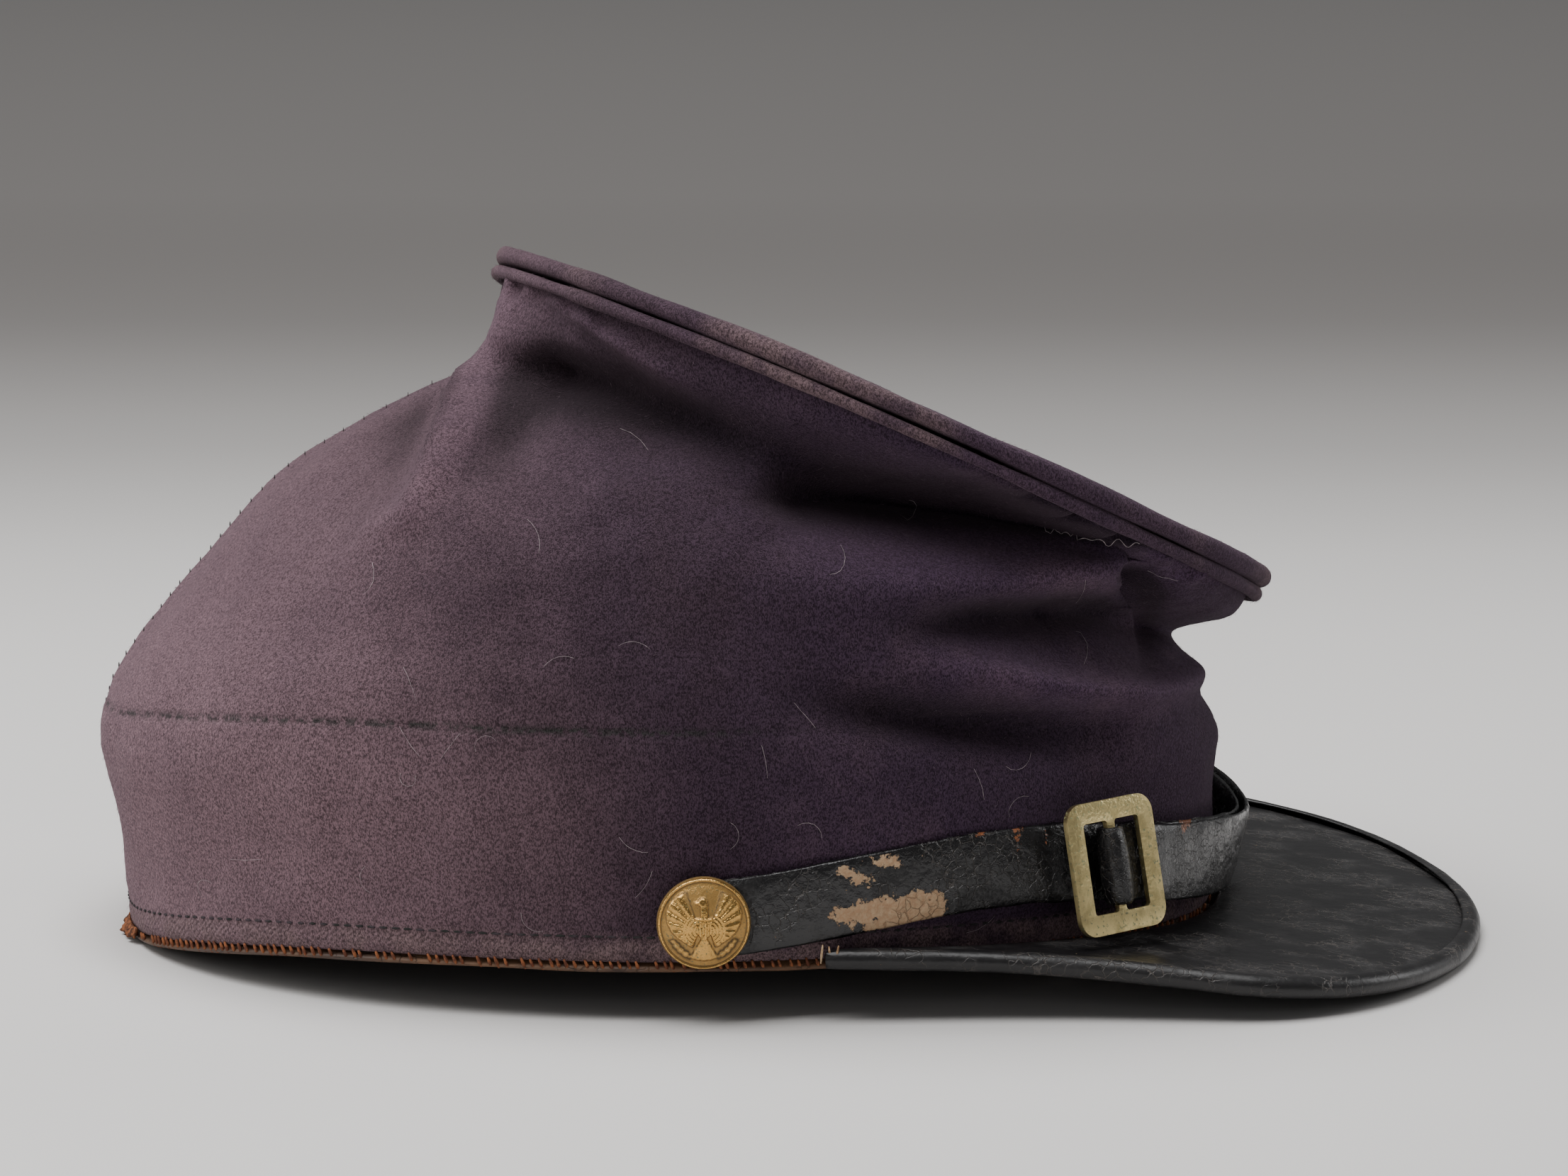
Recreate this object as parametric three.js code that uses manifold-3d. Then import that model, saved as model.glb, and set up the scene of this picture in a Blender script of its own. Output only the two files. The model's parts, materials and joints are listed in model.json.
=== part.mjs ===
// A soft wool forage cap with a fallen-forward crown, a leather peak and a buckled chin strap.
// Millimetres. +X points to the front, +Y to the wearer's left and +Z up.
import * as THREE from "three";
import { mergeVertices } from "three/addons/utils/BufferGeometryUtils.js";
import Module from "manifold-3d";

const wasm = await Module();
wasm.setup();

// Sizes of the crown and its round top
const RIM_LENGTH = 182;
const RIM_WIDTH = 150;
const RIM_BACK_HEIGHT = 1.5;
const RIM_FRONT_HEIGHT = 6;
const RIM_SIDE_HEIGHT = 10;
const WOOL_WALL = 2;
const DISC_RADIUS = 70;
const DISC_THICKNESS = 3.2;
const DISC_FORWARD = 34.7;
const DISC_HEIGHT = 84;
const DISC_PITCH = 22.8;
const DISC_ROLL = 10;
const DISC_BOW = 1.4;
const WELT_RADIUS = 1.1;
const FOLD_SIZE = 10;

// Sizes of the leather
const SWEATBAND_HEIGHT = 34;
const SWEATBAND_WALL = 1.2;
const SWEATBAND_EASE = 1.6;
const VISOR_REACH = 45;
const VISOR_HALF_WIDTH = 76;
const VISOR_WALL = 1.8;
const VISOR_SLOPE = 0.11;
const VISOR_TAIL_ANGLE = 74;
const VISOR_TAIL_DROP = 1.3;
const BINDING_WALL = 0.6;
const BINDING_DEPTH = 3.2;
const STRAP_HEIGHT = 22.5;
const STRAP_WIDTH = 13.7;
const STRAP_WALL = 1.3;

// Sizes of the brass
const BUCKLE_HEIGHT = 21.5;
const BUCKLE_WIDTH = 18.6;
const BUCKLE_ARM = 3.3;
const BUCKLE_WALL = 1;
const BUCKLE_CORNER = 3.1;
const BUCKLE_WINDOW_CORNER = 0.6;
const BUCKLE_BAR = 1.6;
const BUCKLE_ANGLE = -45.3;
const BUCKLE_LEAN = 8.5;
const BUTTON_RADIUS = 7.5;
const BUTTON_EDGE = 1;
const BUTTON_BEVEL = 0.4;
const BUTTON_DOME = 2.4;
const BUTTON_RELIEF = 0.35;
const BUTTON_ANGLE = 88.3;

// Room between pieces that lie on each other
const CLEARANCE = 0.3;
// Shares of the wall's levels between which folds fade in over the rim and out under the neck
const FOLDS_IN = [0.02, 0.3];
const FOLDS_OUT = [0.93, 1];
// Shares of the half width between which a fold on one side fades in
const FOLD_SIDE = [0.05, 0.35];
// How far a worn edge is pressed flat where the cap rests
const REST_FLATTENING = 0.5;

const COLUMNS = 60;
const COLUMN_CROWDING = 0.35;
const ROWS = 22;
const ROW_CROWDING = 1.25;
const ROUND_STEPS = 44;
const VISOR_STEPS = 32;
const LOOP_STEPS = 22;
// Degrees between the strap's stations, and where the near strap's end is hidden on the far side
const STRAP_STEP = 5;
const STRAP_RIGHT_END = 56;

const HALF_LENGTH = RIM_LENGTH / 2;
const HALF_WIDTH = RIM_WIDTH / 2;
const radians = THREE.MathUtils.degToRad;
const smooth = THREE.MathUtils.smoothstep;
const mix = THREE.MathUtils.lerp;

const materials = {
  wool: new THREE.MeshStandardMaterial({ color: 0x3a2f3d, roughness: 0.95, metalness: 0 }),
  blackLeather: new THREE.MeshStandardMaterial({ color: 0x16151a, roughness: 0.4, metalness: 0 }),
  brownLeather: new THREE.MeshStandardMaterial({ color: 0x7a452b, roughness: 0.75, metalness: 0 }),
  brass: new THREE.MeshStandardMaterial({ color: 0xb3974a, roughness: 0.4, metalness: 1 }),
  gilt: new THREE.MeshStandardMaterial({ color: 0xd0a65c, roughness: 0.3, metalness: 1 }),
};

// Each row is one level of the wall, from the rim up to the neck under the round top.
// A rise is a share of the way up, and a bulge a share of the rim's half length or half width.
const wallLevels = [
  { front: [0, 0], back: [0, 0], near: [0, 0], far: [0, 0] },
  { front: [0.11, -0.005], back: [0.06, 0.045], near: [0.085, 0.015], far: [0.095, 0.015] },
  { front: [0.27, -0.015], back: [0.15, 0.11], near: [0.185, 0.035], far: [0.215, 0.035] },
  { front: [0.47, -0.02], back: [0.245, 0.21], near: [0.3, 0.05], far: [0.35, 0.06] },
  { front: [0.585, -0.015], back: [0.305, 0.265], near: [0.4, 0.06], far: [0.455, 0.07] },
  { front: [0.66, -0.045], back: [0.36, 0.285], near: [0.48, 0.06], far: [0.545, 0.07] },
  { front: [0.73, -0.075], back: [0.425, 0.29], near: [0.56, 0.055], far: [0.63, 0.065] },
  { front: [0.8, -0.1], back: [0.485, 0.27], near: [0.63, 0.04], far: [0.7, 0.055] },
  { front: [0.86, -0.125], back: [0.59, 0.25], near: [0.7, 0.025], far: [0.76, 0.035] },
  { front: [0.885, -0.13], back: [0.7, 0.2], near: [0.765, 0], far: [0.81, 0.015] },
  { front: [0.9, -0.11], back: [0.775, 0.135], near: [0.82, -0.025], far: [0.85, -0.015] },
  { front: [0.915, -0.07], back: [0.83, 0.055], near: [0.865, -0.035], far: [0.885, -0.035] },
  { front: [0.935, -0.03], back: [0.865, -0.015], near: [0.91, -0.03], far: [0.925, -0.035] },
  { front: [0.965, -0.01], back: [0.9, -0.04], near: [0.955, -0.015], far: [0.96, -0.02] },
  { front: [1, 0], back: [1, 0], near: [1, 0], far: [1, 0] },
];

// Each row is one fold, as a line on the near or far side seen square on. Places are shares of the
// rim's half length and of the round top's height; lifts and widths are shares of the fold size. The
// upper width is on the side above or behind the line, the lower one below or in front of it.
const folds = [
  {
    name: "tuck", side: "near", upper: 0.75, lower: 0.58,
    x: [0.17, 0.26, 0.42, 0.62, 0.76, 0.88],
    z: [0.98, 0.965, 0.94, 0.905, 0.885, 0.84],
    lift: [-0.2, -0.95, -1.35, -1.35, -1, -0.45],
  },
  {
    name: "shoulder", side: "near", upper: 0.5, lower: 0.8,
    x: [0.12, 0.3, 0.52, 0.72, 0.84],
    z: [0.9, 0.87, 0.845, 0.835, 0.825],
    lift: [0.1, 0.35, 0.45, 0.45, 0.3],
  },
  {
    name: "pocket", side: "near", upper: 0.45, lower: 0.45,
    x: [0.83, 0.87],
    z: [0.775, 0.7],
    lift: [-0.45, -0.2],
  },
  {
    name: "upper hollow", side: "near", upper: 0.45, lower: 0.45,
    x: [0.5, 0.68, 0.84],
    z: [0.72, 0.68, 0.65],
    lift: [-0.15, -0.45, -0.35],
  },
  {
    name: "lower ridge", side: "near", upper: 0.4, lower: 0.5,
    x: [0.46, 0.7, 0.97],
    z: [0.69, 0.64, 0.585],
    lift: [0.1, 0.35, 0.25],
  },
  {
    name: "lower hollow", side: "near", upper: 0.35, lower: 0.5,
    x: [0.52, 0.78],
    z: [0.55, 0.5],
    lift: [-0.2, -0.3],
  },
  {
    name: "back ridge", side: "near", upper: 0.6, lower: 0.8,
    x: [-0.56, -0.44, -0.37, -0.32, -0.28],
    z: [0.86, 0.97, 1.1, 1.21, 1.3],
    lift: [0.1, 0.35, 0.5, 0.6, 0.5],
  },
  {
    name: "behind the ridge", side: "near", upper: 1, lower: 0.6,
    x: [-0.64, -0.54, -0.47, -0.42],
    z: [0.9, 0.99, 1.1, 1.2],
    lift: [-0.1, -0.3, -0.4, -0.3],
  },
  {
    name: "back hollow", side: "near", upper: 0.5, lower: 0.7,
    x: [-0.26, -0.1, 0.15, 0.32],
    z: [1.14, 1.13, 1.07, 1.03],
    lift: [-0.5, -0.4, -0.3, -0.1],
  },
  {
    name: "far tuck", side: "far", upper: 0.7, lower: 0.6,
    x: [-0.1, 0.3, 0.7],
    z: [0.84, 0.76, 0.66],
    lift: [-0.3, -0.6, -0.5],
  },
  {
    name: "far ridge", side: "far", upper: 0.8, lower: 0.8,
    x: [0, 0.75],
    z: [0.72, 0.55],
    lift: [0.35, 0.35],
  },
  {
    name: "far hollow", side: "far", upper: 0.8, lower: 0.8,
    x: [0.2, 0.8],
    z: [0.6, 0.42],
    lift: [-0.35, -0.35],
  },
];

// The chin strap's way round the front, from the near button to the far one. Angles are in degrees
// from the front, heights shares of the strap's height and layers a count of strap walls. A tilt
// in degrees swings the strap's lower edge outwards.
const strapRoute = [
  { angle: -94, height: 0.75, inner: 0.4, outer: 1.5, tilt: 0 },
  { angle: -86, height: 0.775, inner: 0.4, outer: 1.5, tilt: 0 },
  { angle: -78, height: 0.865, inner: 0.5, outer: 1.6, tilt: 0 },
  { angle: -66, height: 0.99, inner: 0.5, outer: 2, tilt: 2 },
  { angle: -54, height: 1.025, inner: 0.8, outer: 3.2, tilt: 7 },
  { angle: -42, height: 0.945, inner: 1.2, outer: 4.1, tilt: 12 },
  { angle: -24, height: 0.8, inner: 1.4, outer: 3, tilt: 0 },
  { angle: 0, height: 0.67, inner: 1.5, outer: 2.7, tilt: -14 },
  { angle: 24, height: 0.77, inner: 1.3, outer: 2.6, tilt: -10 },
  { angle: 48, height: 0.945, inner: 0.6, outer: 2.2, tilt: 0 },
  { angle: 66, height: 0.975, inner: 0.5, outer: 1.1, tilt: 0 },
  { angle: 78, height: 0.865, inner: 0.5, outer: 0.5, tilt: 0 },
  { angle: 86, height: 0.775, inner: 0.4, outer: 0.4, tilt: 0 },
  { angle: 94, height: 0.75, inner: 0.4, outer: 0.4, tilt: 0 },
];

// Joins loops of points into one closed skin. The loops close into a ring, or the two ends get caps,
// whose triangles come from the flat outline of the loop.
function skin(loops, ring, capOutline) {
  const count = loops[0].length;
  const positions = loops.flat().flatMap((p) => [p.x, p.y, p.z]);
  const faces = [];
  const spans = ring ? loops.length : loops.length - 1;
  for (let i = 0; i < spans; i++) {
    const here = i * count;
    const next = ((i + 1) % loops.length) * count;
    for (let j = 0; j < count; j++) {
      const k = (j + 1) % count;
      faces.push(here + j, next + j, next + k, here + j, next + k, here + k);
    }
  }
  if (!ring) {
    const last = (loops.length - 1) * count;
    const clockwise = THREE.ShapeUtils.isClockWise(capOutline);
    for (const triangle of THREE.ShapeUtils.triangulateShape(capOutline, [])) {
      const [a, b, c] = triangle.map((k) => capOutline[k]);
      const turned = b.clone().sub(a).cross(c.clone().sub(a)) < 0;
      const [i, j, k] = turned === clockwise ? triangle : triangle.toReversed();
      faces.push(i, j, k, last + i, last + k, last + j);
    }
  }
  const geometry = new THREE.BufferGeometry();
  geometry.setAttribute("position", new THREE.Float32BufferAttribute(positions, 3));
  geometry.setIndex(faces);
  if (signedVolume(geometry) < 0) {
    geometry.setIndex(faces.reverse());
  }
  geometry.computeVertexNormals();
  return geometry;
}

function signedVolume(geometry) {
  const points = geometry.getAttribute("position");
  const faces = geometry.getIndex().array;
  const corners = [new THREE.Vector3(), new THREE.Vector3(), new THREE.Vector3()];
  let sum = 0;
  for (let i = 0; i < faces.length; i += 3) {
    corners.forEach((corner, k) => corner.fromBufferAttribute(points, faces[i + k]));
    sum += corners[0].dot(corners[1].clone().cross(corners[2]));
  }
  return sum / 6;
}

// A round cross-section as flat points
function roundSection(radius, sides) {
  return Array.from({ length: sides }, (_, i) => {
    const turn = (2 * Math.PI * i) / sides;
    return new THREE.Vector2(radius * Math.cos(turn), radius * Math.sin(turn));
  });
}

// A smooth run of one column of a table through its rows
function tableCurve(rows, key, value, at) {
  const last = rows.length - 1;
  let i = 0;
  while (i < last - 1 && at > key(rows[i + 1], i + 1)) {
    i++;
  }
  const before = Math.max(i - 1, 0);
  const after = Math.min(i + 2, last);
  const [k0, k1] = [key(rows[i], i), key(rows[i + 1], i + 1)];
  const [v0, v1] = [value(rows[i]), value(rows[i + 1])];
  const step = k1 - k0;
  const slope0 = ((v1 - value(rows[before])) / (k1 - key(rows[before], before))) * step;
  const slope1 = ((value(rows[after]) - v0) / (key(rows[after], after) - k0)) * step;
  const t = (at - k0) / step;
  const [t2, t3] = [t * t, t * t * t];
  return (
    (2 * t3 - 3 * t2 + 1) * v0 + (t3 - 2 * t2 + t) * slope0 + (3 * t2 - 2 * t3) * v1 + (t3 - t2) * slope1
  );
}

// Blends the front, back, near and far values of a level round the head
function roundTheHead(front, back, near, far, turn) {
  const mean = (front + back + near + far) / 4;
  return (
    mean +
    ((front - back) / 2) * Math.cos(turn) +
    ((far - near) / 2) * Math.sin(turn) +
    ((front + back - near - far) / 4) * Math.cos(2 * turn)
  );
}

// The round top's own frame: its centre, and unit vectors forward, across and up
const discForward = new THREE.Vector3(Math.cos(radians(DISC_PITCH)), 0, -Math.sin(radians(DISC_PITCH)));
const discUp = new THREE.Vector3(0, 1, 0).cross(discForward).negate();
discUp.applyAxisAngle(discForward, radians(DISC_ROLL) * -1);
const discAcross = discUp.clone().cross(discForward);
const discCentre = new THREE.Vector3(DISC_FORWARD, 0, DISC_HEIGHT);
const NECK_RADIUS = DISC_RADIUS - 2 * WELT_RADIUS - 2 * CLEARANCE;
const NECK_DROP = 2 * WELT_RADIUS + 2 * CLEARANCE;

// The back half of the round top is bowed up.
function discBow(forward) {
  return DISC_BOW * (1 - smooth(forward / DISC_RADIUS, -0.5, 0.75));
}

function discPoint(radius, turn, up) {
  const forward = radius * Math.cos(turn);
  return discCentre
    .clone()
    .addScaledVector(discForward, forward)
    .addScaledVector(discAcross, radius * Math.sin(turn))
    .addScaledVector(discUp, up + discBow(forward));
}

function rimPoint(turn) {
  const end = Math.cos(turn) > 0 ? RIM_FRONT_HEIGHT : RIM_BACK_HEIGHT;
  const height = mix(RIM_SIDE_HEIGHT, end, Math.cos(turn) ** 4);
  return new THREE.Vector3(
    HALF_LENGTH * Math.cos(turn),
    HALF_WIDTH * Math.sin(turn),
    Math.max(height - REST_FLATTENING, RIM_BACK_HEIGHT),
  );
}

// How far one fold lifts the wall at a place on its side, as a share of the fold size
function liftOf(fold, place) {
  let nearest = { away: Infinity };
  for (let i = 0; i + 1 < fold.x.length; i++) {
    const start = new THREE.Vector2(fold.x[i] * HALF_LENGTH, fold.z[i] * DISC_HEIGHT);
    const along = new THREE.Vector2(fold.x[i + 1] * HALF_LENGTH, fold.z[i + 1] * DISC_HEIGHT).sub(start);
    const here = place.clone().sub(start);
    const share = THREE.MathUtils.clamp(here.dot(along) / along.lengthSq(), 0, 1);
    const above = along.cross(here) > 0;
    const away = here.addScaledVector(along, -share).length();
    if (away < nearest.away) {
      nearest = { away, above, lift: mix(fold.lift[i], fold.lift[i + 1], share) };
    }
  }
  const width = (nearest.above ? fold.upper : fold.lower) * FOLD_SIZE;
  return nearest.lift * Math.exp(-((nearest.away / width) ** 2));
}

// How far the folds push the wall out or in at a place on it
function foldLift(point) {
  const place = new THREE.Vector2(point.x, point.z);
  let lift = 0;
  for (const fold of folds) {
    const towards = fold.side === "near" ? -point.y : point.y;
    lift += smooth(towards / HALF_WIDTH, ...FOLD_SIDE) * liftOf(fold, place);
  }
  return lift * FOLD_SIZE;
}

// A point on the outside of the wool wall, at a share of its levels from the rim to the neck
function wallPoint(turn, level) {
  const at = level * (wallLevels.length - 1);
  const place = (side, column) =>
    tableCurve(wallLevels, (_, i) => i, (row) => row[side][column], at);
  const sides = (column) => ["front", "back", "near", "far"].map((side) => place(side, column));
  const blend = (column) => roundTheHead(...sides(column), turn);
  const outwards = new THREE.Vector3(HALF_LENGTH * Math.cos(turn), HALF_WIDTH * Math.sin(turn), 0);
  const point = rimPoint(turn).lerp(discPoint(NECK_RADIUS, turn, -NECK_DROP), blend(0));
  point.addScaledVector(outwards, blend(1));
  const settled = smooth(level, ...FOLDS_IN) * (1 - smooth(level, ...FOLDS_OUT));
  return point.addScaledVector(outwards.normalize(), foldLift(point) * settled);
}

// The direction straight out of the wall
function wallNormal(turn, level) {
  const step = 0.004;
  const up = wallPoint(turn, Math.min(level + step, 1)).sub(wallPoint(turn, Math.max(level - step, 0)));
  const along = wallPoint(turn + step, level).sub(wallPoint(turn - step, level));
  return along.cross(up).normalize();
}

// Columns stand closer on the near side and rows under the round top, where most folds are.
function turnOf(column) {
  const turn = (2 * Math.PI * column) / COLUMNS;
  return turn + COLUMN_CROWDING * (1 - Math.cos(turn));
}

const levelOf = (row) => 1 - (1 - row / ROWS) ** ROW_CROWDING;

function crownBody() {
  const loops = [];
  for (let column = 0; column < COLUMNS; column++) {
    const turn = turnOf(column);
    const outer = [];
    const inner = [];
    for (let row = 0; row <= ROWS; row++) {
      const level = levelOf(row);
      const point = wallPoint(turn, level);
      outer.push(point);
      inner.push(point.clone().addScaledVector(wallNormal(turn, level), -WOOL_WALL));
    }
    inner[0] = outer[0].clone().addScaledVector(planNormal(turn), -WOOL_WALL);
    inner[ROWS] = discPoint(NECK_RADIUS - WOOL_WALL, turn, -NECK_DROP - WOOL_WALL / 2);
    outer.push(discPoint(NECK_RADIUS, turn, -CLEARANCE));
    inner.push(discPoint(NECK_RADIUS - WOOL_WALL, turn, -CLEARANCE));
    loops.push([...outer, ...inner.reverse()]);
  }
  return skin(loops, true);
}

// The sweatband stands inside the wool, and its foot turns out under the wool's edge.
function sweatband() {
  const loops = [];
  const gap = WOOL_WALL + SWEATBAND_EASE;
  for (let column = 0; column < COLUMNS; column++) {
    const turn = turnOf(column);
    const edge = rimPoint(turn);
    const place = (inset, height) => {
      const point = height > edge.z ? wallAt(turn, height) : edge.clone().setZ(height);
      return point.addScaledVector(planNormal(turn), -inset);
    };
    const foot = edge.z - CLEARANCE - SWEATBAND_WALL;
    const heights = [0.33, 0.67, 1].map((share) => edge.z + SWEATBAND_HEIGHT * share);
    loops.push([
      place(0, foot),
      place(0, foot + SWEATBAND_WALL),
      place(gap, foot + SWEATBAND_WALL),
      ...heights.map((height) => place(gap, height)),
      ...heights.toReversed().map((height) => place(gap + SWEATBAND_WALL, height)),
      place(gap + SWEATBAND_WALL, foot),
    ]);
  }
  return skin(loops, true);
}

// A lathed piece set in the round top's frame
function onDisc(profile) {
  const geometry = mergeLathe(new THREE.LatheGeometry(profile, ROUND_STEPS));
  const places = geometry.getAttribute("position");
  for (let i = 0; i < places.count; i++) {
    places.setY(i, places.getY(i) + discBow(places.getX(i)));
  }
  const frame = new THREE.Matrix4().makeBasis(discForward, discUp, discAcross.clone().negate());
  return geometry.applyMatrix4(frame.setPosition(discCentre));
}

// A lathed shape with its seam and poles closed
function mergeLathe(geometry) {
  geometry.deleteAttribute("normal");
  geometry.deleteAttribute("uv");
  const merged = mergeVertices(geometry, 1e-3);
  if (signedVolume(merged) < 0) {
    merged.setIndex([...merged.getIndex().array].reverse());
  }
  return merged;
}

function crownDisc() {
  const half = DISC_THICKNESS / 2;
  const edge = DISC_RADIUS - half;
  const rings = [0, 0.65, 0.93].map((share) => share * DISC_RADIUS);
  const profile = rings.map((radius) => new THREE.Vector2(radius, 0));
  for (const turn of [-90, -45, 0, 45, 90]) {
    profile.push(
      new THREE.Vector2(edge + half * Math.cos(radians(turn)), half + half * Math.sin(radians(turn))),
    );
  }
  profile.push(new THREE.Vector2(rings[1], DISC_THICKNESS), new THREE.Vector2(0, DISC_THICKNESS));
  return onDisc(profile);
}

function discWelt() {
  const centre = new THREE.Vector2(NECK_RADIUS + CLEARANCE + WELT_RADIUS, -CLEARANCE - WELT_RADIUS);
  const profile = roundSection(WELT_RADIUS, 6).map((point) => point.add(centre));
  profile.push(profile[0].clone());
  return onDisc(profile);
}

const VISOR_TIP = HALF_LENGTH + VISOR_REACH;

// The underside of the peak's bound edge: it rises from the tip, and levels out along the rim.
function visorFoot(x) {
  const rise = Math.max(VISOR_SLOPE * (VISOR_TIP - x) - REST_FLATTENING, 0);
  const most = RIM_SIDE_HEIGHT - VISOR_TAIL_DROP;
  const share = rise / most;
  return most * Math.min(share, 1) - (most / 8) * Math.max(0, 1 - 4 * Math.abs(share - 1)) ** 2;
}

// The peak's outline, by a share from the near tail (-1) over the tip (0) to the far tail (1)
function visorOutline(share) {
  const tail = 0.3;
  const side = Math.sign(share);
  const part = Math.abs(share);
  if (part <= 1 - tail) {
    const turn = ((part / (1 - tail)) * Math.PI) / 2;
    return new THREE.Vector2(
      HALF_LENGTH + VISOR_REACH * Math.cos(turn),
      side * VISOR_HALF_WIDTH * Math.sin(turn),
    );
  }
  const along = (part - 1 + tail) / tail;
  const end = visorInnerEdge(share);
  const bow = 1 - Math.cos((along * Math.PI) / 2);
  return new THREE.Vector2(
    mix(HALF_LENGTH, end.x, along),
    mix(side * VISOR_HALF_WIDTH, end.y + side * (BINDING_DEPTH + 1), bow),
  );
}

function visorInnerEdge(share) {
  const turn = radians(VISOR_TAIL_ANGLE) * share;
  return new THREE.Vector2(
    (HALF_LENGTH + 2 * CLEARANCE) * Math.cos(turn),
    (HALF_WIDTH + 2 * CLEARANCE) * Math.sin(turn),
  );
}

const shares = Array.from({ length: VISOR_STEPS + 1 }, (_, i) => (2 * i) / VISOR_STEPS - 1);

// The way straight into the peak from its outline
function visorInwards(share) {
  const step = 0.01;
  const ahead = visorOutline(Math.min(share + step, 1));
  const along = ahead.sub(visorOutline(Math.max(share - step, -1))).normalize();
  return new THREE.Vector2(-along.y, along.x);
}

// Where the peak's stations lie between its inner and outer edge
const VISOR_ACROSS = [0, 0.35, 0.7, 1];

function visor() {
  const lift = BINDING_WALL + CLEARANCE;
  const loops = shares.map((share) => {
    const inner = visorInnerEdge(share);
    const inset = BINDING_WALL + CLEARANCE;
    const outer = visorOutline(share).addScaledVector(visorInwards(share), inset);
    const under = VISOR_ACROSS.map((t) => {
      const place = inner.clone().lerp(outer, t);
      return new THREE.Vector3(place.x, place.y, visorFoot(place.x) + lift);
    });
    const over = under.map((point) => point.clone().setZ(point.z + VISOR_WALL));
    return [...under, ...over.reverse()];
  });
  const cap = VISOR_ACROSS.map((t) => new THREE.Vector2(t, 0));
  const capOver = VISOR_ACROSS.map((t) => new THREE.Vector2(t, 1)).reverse();
  return skin(loops, false, [...cap, ...capOver]);
}

// The binding wraps the peak's edge as a C, with the peak held in its mouth.
function visorBinding() {
  const slot = VISOR_WALL + 2 * CLEARANCE;
  const full = slot + 2 * BINDING_WALL;
  const round = full / 2;
  const section = [
    [BINDING_DEPTH, 0],
    [round * 0.6, 0],
    [round * 0.15, full * 0.25],
    [0, full * 0.5],
    [round * 0.15, full * 0.75],
    [round * 0.6, full],
    [BINDING_DEPTH, full],
    [BINDING_DEPTH, full - BINDING_WALL],
    [BINDING_WALL, full - BINDING_WALL],
    [BINDING_WALL, BINDING_WALL],
    [BINDING_DEPTH, BINDING_WALL],
  ].map(([x, y]) => new THREE.Vector2(x, y));
  const loops = shares.map((share) => {
    const edge = visorOutline(share);
    const inwards = visorInwards(share);
    return section.map((point) => {
      const place = edge.clone().addScaledVector(inwards, point.x);
      return new THREE.Vector3(place.x, place.y, visorFoot(place.x) + point.y);
    });
  });
  return skin(loops, false, section);
}

// The strap's loop round the buckle's bar, seen from above: along the strap towards the near button
// and out from the wall, as shares of the loop's radius
const barLoop = [
  { along: -4.2, out: -0.88 },
  { along: -2.2, out: -0.88 },
  { along: -1.55, out: -0.55 },
  { along: -0.95, out: 0.45 },
  { along: 0, out: 1.05 },
  { along: 0.8, out: 0.65 },
  { along: 0.95, out: -0.25 },
  { along: 0.45, out: -1.2 },
  { along: -0.8, out: -1.68 },
  { along: -2.2, out: -1.76 },
  { along: -4.2, out: -1.76 },
];

const routeValue = (column, angle) =>
  tableCurve(strapRoute, (row) => row.angle, (row) => row[column], angle);

// The wall's outside at a height above the rim's own sweatband, and the way straight out in plan
function wallAt(turn, height) {
  let [low, high] = [0, 0.5];
  for (let i = 0; i < 24; i++) {
    const middle = (low + high) / 2;
    if (wallPoint(turn, middle).z < height) {
      low = middle;
    } else {
      high = middle;
    }
  }
  return wallPoint(turn, low);
}

function planNormal(turn) {
  return new THREE.Vector3(Math.cos(turn) / HALF_LENGTH, Math.sin(turn) / HALF_WIDTH, 0).normalize();
}

// The middle of a strap layer at an angle from the front
function strapCentre(layer, angle) {
  const turn = radians(angle);
  const height = routeValue("height", angle) * STRAP_HEIGHT;
  const away = CLEARANCE + (routeValue(layer, angle) + 0.5) * STRAP_WALL;
  return wallAt(turn, height).addScaledVector(planNormal(turn), away);
}

// The middle, outward and upward directions of the strap at an angle
function strapStation(layer, angle) {
  const step = 1;
  const along = strapCentre(layer, angle + step).sub(strapCentre(layer, angle - step)).normalize();
  const out = along.clone().cross(new THREE.Vector3(0, 0, 1)).normalize();
  out.applyAxisAngle(along, radians(routeValue("tilt", angle)) * -1);
  return { centre: strapCentre(layer, angle), out, up: out.clone().cross(along).normalize() };
}

// A strap through stations, with a half width at each
function strapSolid(stations) {
  const loops = stations.map(({ centre, out, up, half = STRAP_WIDTH / 2 }) =>
    [[-1, -1], [-1, 1], [1, 1], [1, -1]].map(([side, rise]) =>
      centre
        .clone()
        .addScaledVector(out, (side * STRAP_WALL) / 2)
        .addScaledVector(up, rise * half),
    ),
  );
  const cap = [[-1, -1], [-1, 1], [1, 1], [1, -1]].map(([x, y]) => new THREE.Vector2(x, y));
  return skin(loops, false, cap);
}

// Where the stations of a strap's round end lie, as shares of its radius in from the tip, and how
// much narrower than the strap the tip is
const END_STATIONS = [0, 0.12, 0.35, 0.65, 1];
const END_NARROWING = 0.94;

// Stations from the round end under a button to another angle
function strapRun(layer, from, to, step) {
  const radius = STRAP_WIDTH / 2;
  const side = Math.sign(from);
  const stations = [];
  for (const share of END_STATIONS) {
    const angle = from + side * THREE.MathUtils.radToDeg((radius * (1 - share)) / HALF_LENGTH);
    const half = radius * Math.sqrt(1 - END_NARROWING * (1 - share) ** 2);
    stations.push({ ...strapStation(layer, angle), half });
  }
  const count = Math.round(Math.abs(to - from) / step);
  for (let i = 1; i <= count; i++) {
    stations.push(strapStation(layer, mix(from, to, i / count)));
  }
  return stations;
}

function strapRight() {
  return strapSolid(strapRun("inner", -BUTTON_ANGLE, STRAP_RIGHT_END, STRAP_STEP));
}

// The free way that the strap takes before its loop, as a share of the loop's own lead
const LOOP_LEAD = 1.8;

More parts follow.
